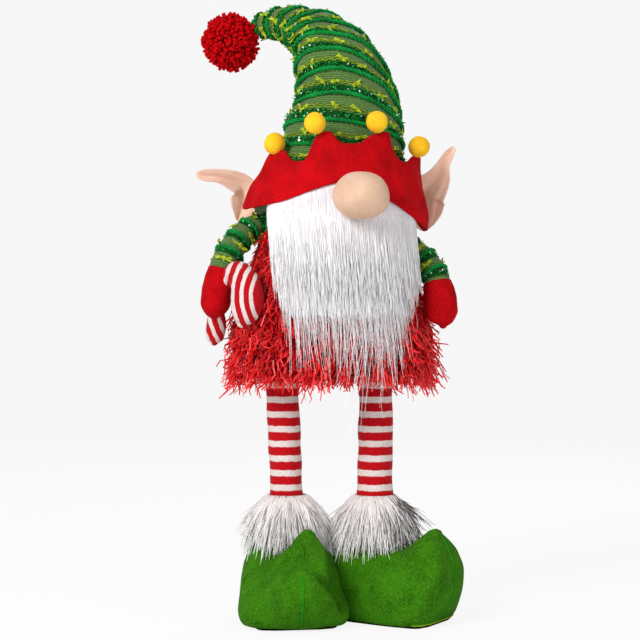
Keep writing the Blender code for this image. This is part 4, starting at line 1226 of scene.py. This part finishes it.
def tufted(name, rows, **settings):
    """Tufts at rows of (point, out, way): each grows its own way from a small face of its own."""
    mesh = bpy.data.meshes.new(name + "_roots")
    places, faces, ways = [], [], []
    for point, out, way in rows:
        first = len(places)
        across = out.cross(way).normalized()
        for a, b in ((-1, -1), (1, -1), (1, 1), (-1, 1)):
            places.append(point + across * a * TUFT_SPREAD + way.normalized() * b * TUFT_DEPTH)
            ways.append(way)
        faces.append((first, first + 1, first + 2, first + 3))
    mesh.from_pydata(places, [], faces)
    mesh.update()
    roots = show(mesh.name, mesh)
    made = grow(
        name, roots, lime_tuft, lambda vert: (ways[vert.index], 1.0, 1.0), Segments=3, Lock_Lean=0.5,
        Lock_Size=0.004, Stray=0.45, Tip=0.8, **settings,
    )
    bpy.data.objects.remove(roots)
    return made


rows = []
for number, (low, high) in enumerate(zip(CORDS, CORDS[1:])):
    b = low + 0.47 * (high - low)
    radius = hat_spot(b, 0)[1]
    count = max(2, round(math.tau * radius / TUFT_PITCH))
    for k in range(count):
        shake = noise.noise(Vector((number * 5.3, k * 3.7, 0.5)))
        azimuth = math.tau * (k + 0.42 * number + 0.5 * shake) / count
        place, out = band_point(b + 0.002 * shake, azimuth, 0.0006)
        beside, _ = band_point(b, azimuth + 0.02, 0.0006)
        way = (beside - place).normalized()
        for sign in (-1, 1):
            rows.append((place, out, way * sign + out * 0.22 + Vector((0, 0, 0.4 * sign * shake))))
tufts = tufted("lime_tufts", rows, Density=1400000.0, Length=0.0041, Width=0.0016, Seed=51)
dressed(tufts, "hat_knit", "hat")

# The metal yarn's glints: tiny flat flakes of green foil among short foil ends. Each flake takes one
# of three tones at random: the foil's own dark green, and bright green and near white as painted glints.
glint_look, tree, shader = finish_named("green_foil_flakes_painted_glints", Metallic=0.6, Roughness=0.22)
own = add(tree, "ShaderNodeAttribute", attribute_name="luck").outputs["Fac"]
ramp = add(tree, "ShaderNodeValToRGB", {"Fac": own})
ramp.color_ramp.interpolation = "CONSTANT"
ramp.color_ramp.elements[0].color = tint("0A5A1E")
ramp.color_ramp.elements[1].position = 0.55
ramp.color_ramp.elements[1].color = tint("18A24A")
ramp.color_ramp.elements.new(0.92).color = tint("D8F4E0")
tree.links.new(ramp.outputs[0], shader.inputs["Base Color"])
# The foil ends are drawn near black at the root as painted shade and bright green at the tip as painted
# glint.
foil_ends = strand_look("dark_green_foil_ends", "063A10", "0E7A2A", "2CB84E", 0.3, metallic=0.4)

flakes, inlet, outlet = new_tree(
    "flakes", Float=("Density", "Radius", "Rise"), Int=("Seed",), Material=("Material",)
)
thick = add(flakes, NAMED, {"Name": "thick"}, data_type="FLOAT")
dense = add(flakes, TIMES, (inlet["Density"], thick))
spots = add(
    flakes, "GeometryNodeDistributePointsOnFaces",
    {"Mesh": inlet["Geometry"], "Density": dense, "Seed": inlet["Seed"]}, distribute_method="RANDOM",
)
lifted = add(flakes, SCALED, {0: spots.outputs["Normal"], "Scale": inlet["Rise"]})
raised = add(flakes, "GeometryNodeSetPosition", {"Geometry": spots, "Offset": lifted})
luck = add(flakes, "FunctionNodeRandomValue", {"Seed": inlet["Seed"]}, data_type="FLOAT").outputs[1]
raised = add(
    flakes, "GeometryNodeStoreNamedAttribute", {"Geometry": raised, "Name": "luck", "Value": luck},
    data_type="FLOAT", domain="POINT",
)
plate = add(flakes, "GeometryNodeMeshCylinder", {"Vertices": 4, "Radius": 1.0, "Depth": 0.2})
turn = add(
    flakes, "FunctionNodeRandomValue", {1: (math.tau, math.tau, math.tau), "Seed": inlet["Seed"]},
    data_type="FLOAT_VECTOR",
)
grown = add(
    flakes, "FunctionNodeRandomValue", {2: 0.6, 3: 1.3, "Seed": inlet["Seed"]}, data_type="FLOAT",
).outputs[1]
wide = add(flakes, TIMES, (grown, inlet["Radius"]))
spread = add(
    flakes, "GeometryNodeInstanceOnPoints",
    {"Points": raised, "Instance": plate.outputs["Mesh"], "Rotation": turn, "Scale": wide},
)
spread = add(flakes, "GeometryNodeRealizeInstances", {"Geometry": spread})
spread = add(flakes, "GeometryNodeSetMaterial", {"Geometry": spread, "Material": inlet["Material"]})
flakes.links.new(spread.outputs[0], outlet.inputs["Geometry"])


def sprinkle(name, base, material, thickness, **settings):
    """Flakes on a base. thickness(vertex) gives their share of the density."""
    piece = show(name, base.data.copy())
    mark(piece.data, "thick", [thickness(vert) for vert in piece.data.vertices])
    piece = run_tree(piece, flakes, {**settings, "Material": material})
    piece.data.shade_flat()
    return piece


glints = sprinkle(
    "foil_flakes", hat, glint_look, lambda vert: banded(vert.index), Density=205000.0, Radius=0.0009,
    Rise=0.0017, Seed=52,
)
dressed(glints, "hat_knit", "hat")


# Noise vectors follow the clock unless their seed is set.
noise.seed_set(54)


def foil_comb(vert):
    """Foil ends point every way, but outwards on the whole."""
    shake = noise.noise_vector(vert.co * 900)
    return vert.normal * 0.55 + shake, 1.0, banded(vert.index)


foil = grow(
    "foil_ends", hat, foil_ends, foil_comb, Density=155000.0, Length=0.0033, Width=0.0015, Flatness=0.3,
    Segments=2, Stray=0.8, Tip=0.6, Round=False, Seed=53,
)
dressed(foil, "hat_knit", "hat")


# Pompom
#
# A ball of deep red wool yarn, wound, cut and trimmed, sewn to the hat's tip. Its cut ends make
# nubs about 3 mm wide.

POMPOM_RADIUS = 0.0265
POMPOM_CENTRE = spot(-0.0958, 0.0, HAT_HEM + 0.1669)
# Soft twisted wool, dull: drawn dark at the root as painted shade between the cut ends.
red_yarn = strand_look("deep_red_wool_yarn", "4A0006", "A4020A", "C4040E", 0.95, gloss=0.06)
CORE_SHARE = 0.80


def ball(name, fineness, material, place):
    """A round piece. place(out) gives the point that lies outwards that way from its middle."""
    work = bmesh.new()
    bmesh.ops.create_icosphere(work, subdivisions=fineness, radius=1)
    for vert in work.verts:
        vert.co = place(vert.co.copy())
    mesh = bpy.data.meshes.new(name)
    work.to_mesh(mesh)
    work.free()
    mesh.shade_smooth()
    mesh.materials.append(material)
    return show(name, mesh)


# A dark core for the ball: painted shade, seen between the ends.
wool_painted_shade = felt("red_wool_painted_shade", "5E0008", "3A0004", "7E0610")
core = ball("pompom_core", 4, wool_painted_shade, lambda out: POMPOM_CENTRE + out * POMPOM_RADIUS * CORE_SHARE)
dressed(core, "red_yarn", "pompom")
yarn_ends = grow(
    "pompom_yarn", core, red_yarn, lambda vert: (vert.normal, 1.0, 1.0), Density=215000.0,
    Length=0.0056, Width=0.0036, Segments=3, Lock_Lean=0.9, Lock_Size=0.006, Stray=0.5, Sides=5,
    Tip=0.8, Seed=31,
)
dressed(yarn_ends, "red_yarn", "pompom")


# Brim
#
# A crown band of padded red felt is sewn round the front of the hat. It rises in four points, and
# its edges are turned in, so they are round.

BAND_HEIGHT = 0.0016
BRIM_THICKNESS = 0.0065
BRIM_FLARE = 0.0035
POINT_CURL = 0.0095
POINT_FOOT = 0.040
POINT_TOP = 0.072
BRIM_LOW = (
    (-100, 0.0050), (-75, 0.0010), (-38, 0.0045), (-17, 0.0140), (-4, 0.0204), (13, 0.0250),
    (32, 0.0075), (50, -0.0060), (70, -0.0170), (112, -0.0180),
)
BRIM_HIGH = (
    (-100, 0.0180), (-84, 0.0290), (-72, 0.0430), (-66, 0.0530), (-61, 0.0560), (-53, 0.0562),
    (-45, 0.0556), (-40, 0.0490), (-35, 0.0450), (-25.5, 0.0455), (-23, 0.0540), (-20.5, 0.0655),
    (-16.5, 0.0700), (-12.5, 0.0718), (-9, 0.0708), (-5.5, 0.0655), (-1, 0.0608), (9, 0.0600),
    (13.5, 0.0616), (19.5, 0.0680), (26, 0.0702), (33, 0.0716), (36, 0.0620), (41, 0.0530),
    (49, 0.0462), (56, 0.0458), (64, 0.0530), (72, 0.0540), (80, 0.0510), (86, 0.0410), (94, 0.0250),
    (112, 0.0120),
)
# The points stand off the hat, the last one most.
LAST_POINT = 60
LAST_CURL = 0.006
# The band's two ends are cut round.
END_SHARE = 0.045


def hat_at(z):
    """Centre and radius of the hat at a height in its upright lower half."""
    low = [(h * HAT_HEIGHT + HAT_HEM, x * HAT_HEIGHT) for x, h, r in HAT_STATIONS[:6]]
    wide = [(h * HAT_HEIGHT + HAT_HEM, r * HAT_HEM_RADIUS) for x, h, r in HAT_STATIONS[:6]]
    return eased(low, z), eased(wide, z)


def brim_place(u, v, proud=0.0):
    """A point of the brim's inner face: u along it from the left end, v up from the lower edge."""
    azimuth = BRIM_LOW[0][0] + (BRIM_LOW[-1][0] - BRIM_LOW[0][0]) * u
    low = eased(BRIM_LOW, azimuth)
    high = eased(BRIM_HIGH, azimuth)
    pinch = math.sqrt(min(1.0, (min(u, 1 - u) + 0.002) / END_SHARE))
    height = low + (high - low) * (0.5 + (v - 0.5) * (0.25 + 0.75 * pinch))
    z = HAT_HEM + height
    centre, radius = hat_at(z)
    tip = max(0.0, height - POINT_FOOT) / (POINT_TOP - POINT_FOOT)
    reach = radius + BAND_HEIGHT + 3 * SEAM_CLEARANCE + BRIM_FLARE * (1 - v) ** 2
    last = held((azimuth - LAST_POINT) / 12)
    reach += (POINT_CURL + LAST_CURL * last) * min(tip, 1.0) + proud
    angle = math.radians(azimuth)
    return spot(centre + reach * math.sin(angle), -reach * math.cos(angle), z)


# Wool felt, bright red: smooth, dull, with a faint bloom.
red_felt = felt("red_wool_felt", "BE020C", "9C0108", "D01822", sheen=0.02)
BRIM_COLUMNS = 150
BRIM_LEVELS = 10
rings = []
for c in range(BRIM_COLUMNS + 1):
    u = c / BRIM_COLUMNS
    ends = min(1.0, (min(u, 1 - u) * BRIM_COLUMNS + 0.6) / 3)
    outer, inner = [], []
    for l in range(BRIM_LEVELS + 1):
        v = l / BRIM_LEVELS
        edge = min(v, 1 - v) * BRIM_LEVELS
        full = math.sqrt(min(1.0, (edge + 0.25) / 2.2)) * math.sqrt(ends)
        soft = lump(brim_place(u, v), 0.019, 0.0030, 8)
        outer.append(brim_place(u, v, BRIM_THICKNESS * (0.5 + 0.5 * full) + soft * full))
        inner.append(brim_place(u, v, BRIM_THICKNESS * (0.5 - 0.5 * full)))
    rings.append(outer + inner[::-1])
brim = skin("felt_brim", rings, red_felt)
refined(brim)
dressed(brim, "red_felt", "brim", fill=0.6)


# Brim balls
#
# Four balls of yellow wool felt, 20 mm across, are sewn on the brim's points.

# Rolled wool felt, warm yellow and slightly paler where the light rubs its nap.
yellow_felt = felt("yellow_wool_felt", "FFC81C", "F2B012", "FFDC60")
BALL_RADIUS = 0.0103
BALL_PROUD = 0.002
# Each ball hangs a few millimetres off its point's middle.
BALL_SHIFTS = ((0.0005, -0.0044), (-0.0052, -0.0036), (-0.0030, -0.0012), (0.0012, -0.0046))
for number, (across, up) in enumerate(BALL_SHIFTS, 1):
    low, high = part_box("brim_ball_%d" % number)
    middle = (Vector(low) + Vector(high)) / 2 + Vector((across, -BALL_PROUD, up))

    def ball_point(out):
        return middle + out * (BALL_RADIUS + lump(middle + out * 0.01, 0.008, 0.0005, number))

    felt_ball = ball("felt_ball_%d" % number, 4, yellow_felt, ball_point)
    dressed(felt_ball, "yellow_felt", "brim_ball_%d" % number)


# Nose
#
# The nose is a large stuffed ball of skin-coloured fleece, sewn on under the brim's middle.

NOSE_SIZE = (0.0536, 0.046, 0.0448)
# Brushed fleece: very even, soft, with a faint pale nap.
skin_fleece = felt("skin_fleece", "DDB89E", "D0A88C", "EACDB8", fibre=0.0012, sheen=0.2)
hem_centre, hem_radius = hat_at(HAT_HEM)
NOSE_AZIMUTH = math.radians(12.5)
nose_reach = hem_radius + 0.0245
nose_middle = spot(
    hem_centre + nose_reach * math.sin(NOSE_AZIMUTH), -nose_reach * math.cos(NOSE_AZIMUTH),
    HAT_HEM + 0.0087,
)


def nose_point(out):
    point = nose_middle + Vector([c * size / 2 for c, size in zip(out, NOSE_SIZE)])
    return point + out * lump(point, 0.02, 0.0012, 4)


dressed(ball("fleece_nose", 5, skin_fleece, nose_point), "skin_fleece", "nose", fill=0.9)


# Beard
#
# The beard is one piece of long white fur fabric, sewn on under the brim and the nose. Its straight
# fine strands fall over the body and thin out, so that the tinsel shows between them.

def beard_place(azimuth, z, proud=0.0):
    """A point of the beard's inner face at an azimuth and a height."""
    angle = math.radians(azimuth)
    centre, hat_radius = hat_at(max(z, HAT_HEM))
    level = min(max(z, BODY_BASE + 0.01), BODY_TOP)
    around_body = body_point(angle, z, body_radius(level) + SEAM_CLEARANCE * 2)
    reach = hat_radius + BAND_HEIGHT + 3 * SEAM_CLEARANCE
    around_hat = spot(centre + reach * math.sin(angle), -reach * math.cos(angle), z)
    over = held((z - (BODY_TOP - 0.055)) / 0.045)
    over = over * over * (3 - 2 * over)
    point = around_body.lerp(around_hat, over)
    return point + Vector((math.sin(angle), -math.cos(angle), 0)) * proud


# Long acrylic fur, combed straight: bright, slightly glossy, with a cool lilac tint at the roots,
# drawn a touch darker there as painted shade.
beard_fur = strand_look("long_white_acrylic_fur", "F4EEF4", "FCF9FC", "FFFEFF", 0.5, sheen=0.4)
beard_back = felt("beard_backing", "F6F0F4", "EAE2E8", "FCF8FA")
BEARD_COLUMNS = 56
BEARD_LEVELS = 26
# The backing's lower edge: well above the strands' tips, and short at its two ends.
BACKING_FOOT = (
    (-50, 0.392), (-46, 0.381), (-41, 0.366), (-36, 0.347), (-29, 0.329), (0, 0.322), (36, 0.317),
    (46, 0.333), (54, 0.360), (62, 0.380),
)
# The backing is sewn on behind the brim's edge.
TUCK = 0.0075
rings = []
for c in range(BEARD_COLUMNS + 1):
    u = c / BEARD_COLUMNS
    azimuth = BACKING_FOOT[0][0] + (BACKING_FOOT[-1][0] - BACKING_FOOT[0][0]) * u
    top = HAT_HEM + eased(BRIM_LOW, azimuth) + TUCK
    foot = eased(BACKING_FOOT, azimuth) + 0.003 * math.sin(c * 1.7)
    thin = math.sqrt(min(1.0, (min(u, 1 - u) * BEARD_COLUMNS + 0.4) / 5))
    outer, inner = [], []
    for l in range(BEARD_LEVELS + 1):
        z = foot + (top - foot) * l / BEARD_LEVELS
        edge = math.sqrt(min(1.0, (min(l, (BEARD_LEVELS - l) * 0.5) + 0.3) / 3))
        outer.append(beard_place(azimuth, z, 0.0015 + 0.0050 * thin * edge))
        inner.append(beard_place(azimuth, z, 0.0012 - 0.0008 * thin * edge))
    rings.append(outer + inner[::-1])
backing = skin("beard_backing", rings, beard_back)
dressed(backing, "white_fur", "beard")


DENSE_FOOT = 0.300
DENSE_LENGTH = 0.058
# The beard's middle lies right of the legs' axis. Its sides are told apart by shares of its half width.
BEARD_MIDDLE = 0.010
BEARD_HALF = 0.07


def beard_side(vert):
    return (vert.co.x - X0 - BEARD_MIDDLE) / BEARD_HALF


def beard_comb(vert):
    """The dense fur: each strand ends near the same height, so the edge thins quickly."""
    front = Vector((vert.co.x - X0, vert.co.y - Y0, 0)).normalized()
    outer = 1.0 if vert.normal.dot(front) > 0.2 else 0.0
    side = beard_side(vert)
    way = Vector((0.05 - (0.07 if side > 0 else 0.13) * side, 0, -1)) + front * 0.12
    reach = (vert.co.z - DENSE_FOOT) / DENSE_LENGTH
    reach *= 1 - 0.4 * max(0.0, -side - 0.6) / 0.5
    return way, max(0.22, min(1.0, reach)), outer


def long_comb(vert):
    """Sparse long strands over it, which show the tinsel between them."""
    way, _, outer = beard_comb(vert)
    side = beard_side(vert)
    reach = 0.92 - 0.5 * max(0.0, abs(side) - 0.7) + 0.10 * held(side)
    return way, max(0.35, reach), outer * (1.0 if vert.co.z < 0.362 else 0.25)


def wisp_comb(vert):
    """A few very long ones right of the middle."""
    way, _, outer = beard_comb(vert)
    side = beard_side(vert)
    right = math.exp(-(((side - 0.52) / 0.24) ** 2))
    low = 1.0 if vert.co.z < 0.328 else 0.0
    return way + Vector((-0.22, 0, 0)), 0.72 + 0.28 * right, outer * low * right


for name, comb, density, length, lean, seed in (
    ("beard_fur_1", beard_comb, 196000.0, DENSE_LENGTH, 0.05, 41),
    ("beard_fur_2", beard_comb, 196000.0, DENSE_LENGTH, 0.05, 42),
    ("beard_long_fur", long_comb, 90000.0, 0.082, 0.04, 43),
    ("beard_wisps", wisp_comb, 85000.0, 0.122, 0.40, 44),
):
    strands = grow(
        name, backing, beard_fur, comb, Density=density, Length=length,
        Width=0.0010 if comb is beard_comb else 0.00052, Segments=4 if comb is beard_comb else 7,
        Droop=0.02, Lock_Lean=lean, Lock_Size=0.010, Stray=0.045 if comb is beard_comb else 0.07,
        Kink=0.0026, Kink_Length=0.04, Cover=0.004, Tip=0.4, Seed=seed,
    )
    dressed(strands, "white_fur", "beard")


# Ears
#
# Each ear is cut from skin-coloured fleece over a thin pad, folded lengthwise and sewn into the side
# of the hat, so that it stands out as a pointed cup.

EAR_THICKNESS = 0.0048
EAR_CUP = 0.45
# Ridges pressed in lengthwise: where they lie across the ear, and their share of its half width.
EAR_FOLDS = ((-0.15, 0.20), (0.45, -0.12))
EAR_FOLD_WIDTH = 0.20
EAR_LINES = {
    "left": (
        (-0.0900, 0.034, -0.0070, 0.0030),
        (-0.0850, 0.033, 0.0030, 0.0130),
        (-0.0815, 0.032, 0.0150, 0.0165),
        (-0.0840, 0.030, 0.0270, 0.0120),
        (-0.0955, 0.026, 0.0335, 0.0100),
        (-0.1090, 0.021, 0.0375, 0.0070),
        (-0.1220, 0.016, 0.0377, 0.0060),
        (-0.1310, 0.013, 0.0385, 0.0030),
    ),
    "right": (
        (0.0965, 0.042, -0.0165, 0.0020),
        (0.0965, 0.042, -0.0105, 0.0105),
        (0.0962, 0.041, 0.0000, 0.0185),
        (0.0962, 0.039, 0.0110, 0.0212),
        (0.0985, 0.037, 0.0200, 0.0210),
        (0.1060, 0.035, 0.0290, 0.0160),
        (0.1110, 0.034, 0.0370, 0.0125),
        (0.1155, 0.031, 0.0490, 0.0070),
        (0.1215, 0.028, 0.0600, 0.0050),
        (0.1265, 0.026, 0.0665, 0.0025),
    ),
}


def ear_place(line, u, v, proud):
    """A point of a cupped ear: u across it, v from the lobe to the tip."""
    keys = [[(k / (len(line) - 1), row[i]) for k, row in enumerate(line)] for i in range(4)]

    def middle_at(share):
        return Vector([eased(keys[i], share) for i in range(3)])

    ahead = (middle_at(min(1.0, v + 0.02)) - middle_at(max(0.0, v - 0.02))).normalized()
    side = ahead.cross(Vector((0, 1, 0))).normalized() * -1
    half = eased(keys[3], v)
    across = 2 * u - 1
    cup = EAR_CUP * half * (across * across - 0.5)
    for place, share in EAR_FOLDS:
        cup -= share * half * math.exp(-(((across - place) / EAR_FOLD_WIDTH) ** 2))
    point = middle_at(v) + side * across * half + Vector((0, -cup - proud, 0))
    return spot(point.x, point.y, point.z + HAT_HEM)


# The same fleece as the nose, drawn paler and a shade pinker: painted light on the ears.
ear_fleece_painted_light = felt("ear_fleece_painted_light", "F8D0BA", "F0BCA2", "FDE6DA", fibre=0.0012, sheen=0.2)
EAR_ROWS = 38
EAR_COLUMNS = 20
for side, line in EAR_LINES.items():
    rings = []
    for n in range(EAR_ROWS + 1):
        v = n / EAR_ROWS
        ends = math.sqrt(min(1.0, (min(n, EAR_ROWS - n) + 0.3) / 2.4))
        front, back = [], []
        for k in range(EAR_COLUMNS + 1):
            u = k / EAR_COLUMNS
            edge = math.sqrt(min(1.0, (min(k, EAR_COLUMNS - k) + 0.15) / 2)) * ends
            front.append(ear_place(line, u, v, EAR_THICKNESS / 2 * edge))
            back.append(ear_place(line, u, v, -EAR_THICKNESS / 2 * edge))
        rings.append(front + back[::-1])
    ear = skin("fleece_ear_" + side, rings, ear_fleece_painted_light)
    refined(ear)
    dressed(ear, "skin_fleece", "ear_" + side, fill=0.3)


# Sleeves
#
# The arms are stuffed tubes of the hat's knit, sewn to the body's shoulders under the hat.

SLEEVES = {
    "left": (
        (-0.0440, -0.004, 0.0150, 0.0115),
        (-0.0700, -0.008, 0.0140, 0.0122),
        (-0.0880, -0.020, 0.0290, 0.0130),
        (-0.0985, -0.031, 0.0480, 0.0135),
        (-0.1018, -0.0335, 0.0575, 0.0136),
    ),
    "right": (
        (0.0480, -0.004, 0.0330, 0.0115),
        (0.0740, -0.008, 0.0340, 0.0122),
        (0.0925, -0.018, 0.0460, 0.0126),
        (0.1040, -0.027, 0.0640, 0.0132),
        (0.1052, -0.0282, 0.0690, 0.0134),
    ),
}


def tube_rings(rows, sides, shape=None):
    """Rings round a smooth line of (x, y, z, radius). shape(n, angle) adds to the radius."""
    rings = []
    aside = None
    for n, row in enumerate(rows):
        before, after = rows[max(0, n - 1)], rows[min(len(rows) - 1, n + 1)]
        ahead = (Vector(after[:3]) - Vector(before[:3])).normalized()
        if aside is None:
            aside = ahead.cross(Vector((0, 1, 0))).normalized()
        aside = (aside - ahead * aside.dot(ahead)).normalized()
        other = ahead.cross(aside)
        ring = []
        for k in range(sides):
            angle = math.tau * k / sides
            radius = row[3] + (shape(n, angle) if shape else 0)
            ring.append(spot(*row[:3]) + (aside * math.cos(angle) + other * math.sin(angle)) * radius)
        rings.append(ring)
    return rings


def hung(line):
    return [(x, y, BODY_TOP - z, radius) for x, y, z, radius in line]


SLEEVE_PITCH = 0.0175
SLEEVE_RADIUS = 0.0125
SLEEVE_STEPS = 60
SLEEVE_AROUND = 32
# The rings that closed_ends sets before the first.
END_RINGS = 3
# The dark band and the tufts above each cord.
SLEEVE_BAND = (0.0015, 0.0060)
TUFT_RISE = 0.0105
for side, line in SLEEVES.items():
    rows, length = flowing(hung(line), SLEEVE_STEPS + 1)

    def sleeve_shape(n, angle):
        return -0.0006 + lump((n / 9, angle, 1), 1.0, 0.0006)

    rings = tube_rings(rows, SLEEVE_AROUND, sleeve_shape)

    def sleeve_cloth(ring, point):
        return point / SLEEVE_AROUND * math.tau * SLEEVE_RADIUS, length * ring / SLEEVE_STEPS

    sleeve = skin("knit_sleeve_" + side, closed_ends(rings, 0.5), hat_knit, sleeve_cloth)
    sleeve.data.materials.append(dark_band)

    def in_band(index):
        up = (length * (index // SLEEVE_AROUND - END_RINGS) / SLEEVE_STEPS) % SLEEVE_PITCH
        return int(SLEEVE_BAND[0] < up < SLEEVE_BAND[1])

    for face in sleeve.data.polygons:
        face.material_index = in_band(face.vertices[0])
    dressed(sleeve, "hat_knit", "sleeve_" + side, fill=0.9)

    def sleeve_line(at, proud):
        level = max(0.0, min(SLEEVE_STEPS - 0.1, at / length * SLEEVE_STEPS))
        low = int(level)
        line = []
        for k in range(SLEEVE_AROUND):
            place = rings[low][k].lerp(rings[low + 1][k], level - low)
            middle = sum(rings[low], Vector()) / SLEEVE_AROUND
            out = (place - middle).normalized()
            line.append((place + out * proud, out, 1.0))
        return line

    marks = [SLEEVE_PITCH * band for band in range(1 + int((length - 0.003) / SLEEVE_PITCH))]
    cord_lines = [sleeve_line(at, 0.0006) for at in marks]
    cords = spin(
        "sleeve_cords_" + side, cord_lines, chenille, closed=True, Radius=0.0013, Spread=0.0010, **CORD
    )
    dressed(cords, "hat_knit", "sleeve_" + side)

    glints = sprinkle(
        "sleeve_flakes_" + side, sleeve, glint_look, lambda vert: in_band(vert.index), Density=210000.0,
        Radius=0.0008, Rise=0.0010, Seed=61,
    )
    dressed(glints, "hat_knit", "sleeve_" + side)
    rows = []
    for number, at in enumerate(marks):
        if at + TUFT_RISE > length - 0.004:
            continue
        line = sleeve_line(at + TUFT_RISE, 0.0008)
        for k in range(number * 3, SLEEVE_AROUND + number * 3, 10):
            place, out, _ = line[k % SLEEVE_AROUND]
            way = (line[(k + 1) % SLEEVE_AROUND][0] - place).normalized()
            rows += [(place, out, way * sign + out * 0.3) for sign in (-1, 1)]
    tufts = tufted("sleeve_tufts_" + side, rows, Density=1300000.0, Length=0.0045, Width=0.0015, Seed=62)
    dressed(tufts, "hat_knit", "sleeve_" + side)


# Mittens
#
# Plain mittens of the brim's red felt, stuffed and sewn to the sleeves' ends.

MITTENS = {
    "left": (
        (-0.1020, -0.0338, 0.0580, 0.0138),
        (-0.1045, -0.035, 0.0660, 0.0146),
        (-0.1070, -0.036, 0.0780, 0.0148),
        (-0.1088, -0.036, 0.0920, 0.0138),
        (-0.1095, -0.036, 0.1000, 0.0095),
        (-0.1095, -0.036, 0.1040, 0.0030),
    ),
    "right": (
        (0.1054, -0.0284, 0.0695, 0.0140),
        (0.1070, -0.030, 0.0780, 0.0154),
        (0.1085, -0.031, 0.0890, 0.0162),
        (0.1100, -0.031, 0.1010, 0.0148),
        (0.1110, -0.031, 0.1080, 0.0100),
        (0.1110, -0.031, 0.1115, 0.0035),
    ),
}
MITTEN_STEPS = 32
MITTEN_AROUND = 32
for side, line in MITTENS.items():
    rows, length = flowing(hung(line), MITTEN_STEPS)
    rings = tube_rings(rows, MITTEN_AROUND, lambda n, angle: lump((n / 6.4, angle, 2), 1.0, 0.0010))
    mitten = skin("felt_mitten_" + side, closed_ends(rings, 0.08, 0.8), red_felt)
    refined(mitten)
    dressed(mitten, "red_felt", "mitten_" + side, fill=0.8)


# Candy cane
#
# A small stuffed cane of the legs' striped jersey, held in the left mitten. Its hook lies in front
# of the body, and its straight end shows under the mitten.

CANE_LINE = (
    (-0.1110, -0.020, 0.1280, 0.0040), (-0.1105, -0.020, 0.1240, 0.0085),
    (-0.1085, -0.024, 0.1120, 0.0098), (-0.1080, -0.031, 0.0980, 0.0080),
    (-0.1050, -0.036, 0.0860, 0.0062), (-0.1000, -0.040, 0.0740, 0.0064),
    (-0.0930, -0.044, 0.0640, 0.0095), (-0.0860, -0.050, 0.0620, 0.0130),
    (-0.0785, -0.057, 0.0720, 0.0145), (-0.0768, -0.061, 0.0860, 0.0158),
    (-0.0788, -0.062, 0.0985, 0.0138), (-0.0815, -0.060, 0.1065, 0.0092),
    (-0.0825, -0.060, 0.1100, 0.0045),
)
cane_jersey = striped(
    "striped_cane_jersey", tuple(spot(-0.028, 0, BODY_TOP - 0.083)), 0.0089, 0.73, True, 0.0405
)
rows, length = flowing(hung(CANE_LINE), 72)
rings = tube_rings(rows, 26, lambda n, angle: lump((n / 8, angle, 3), 1.0, 0.0005))
cane = skin("jersey_cane", closed_ends(rings, 0.7), cane_jersey)
refined(cane)
dressed(cane, "striped_jersey", "candy_cane", fill=0.8)
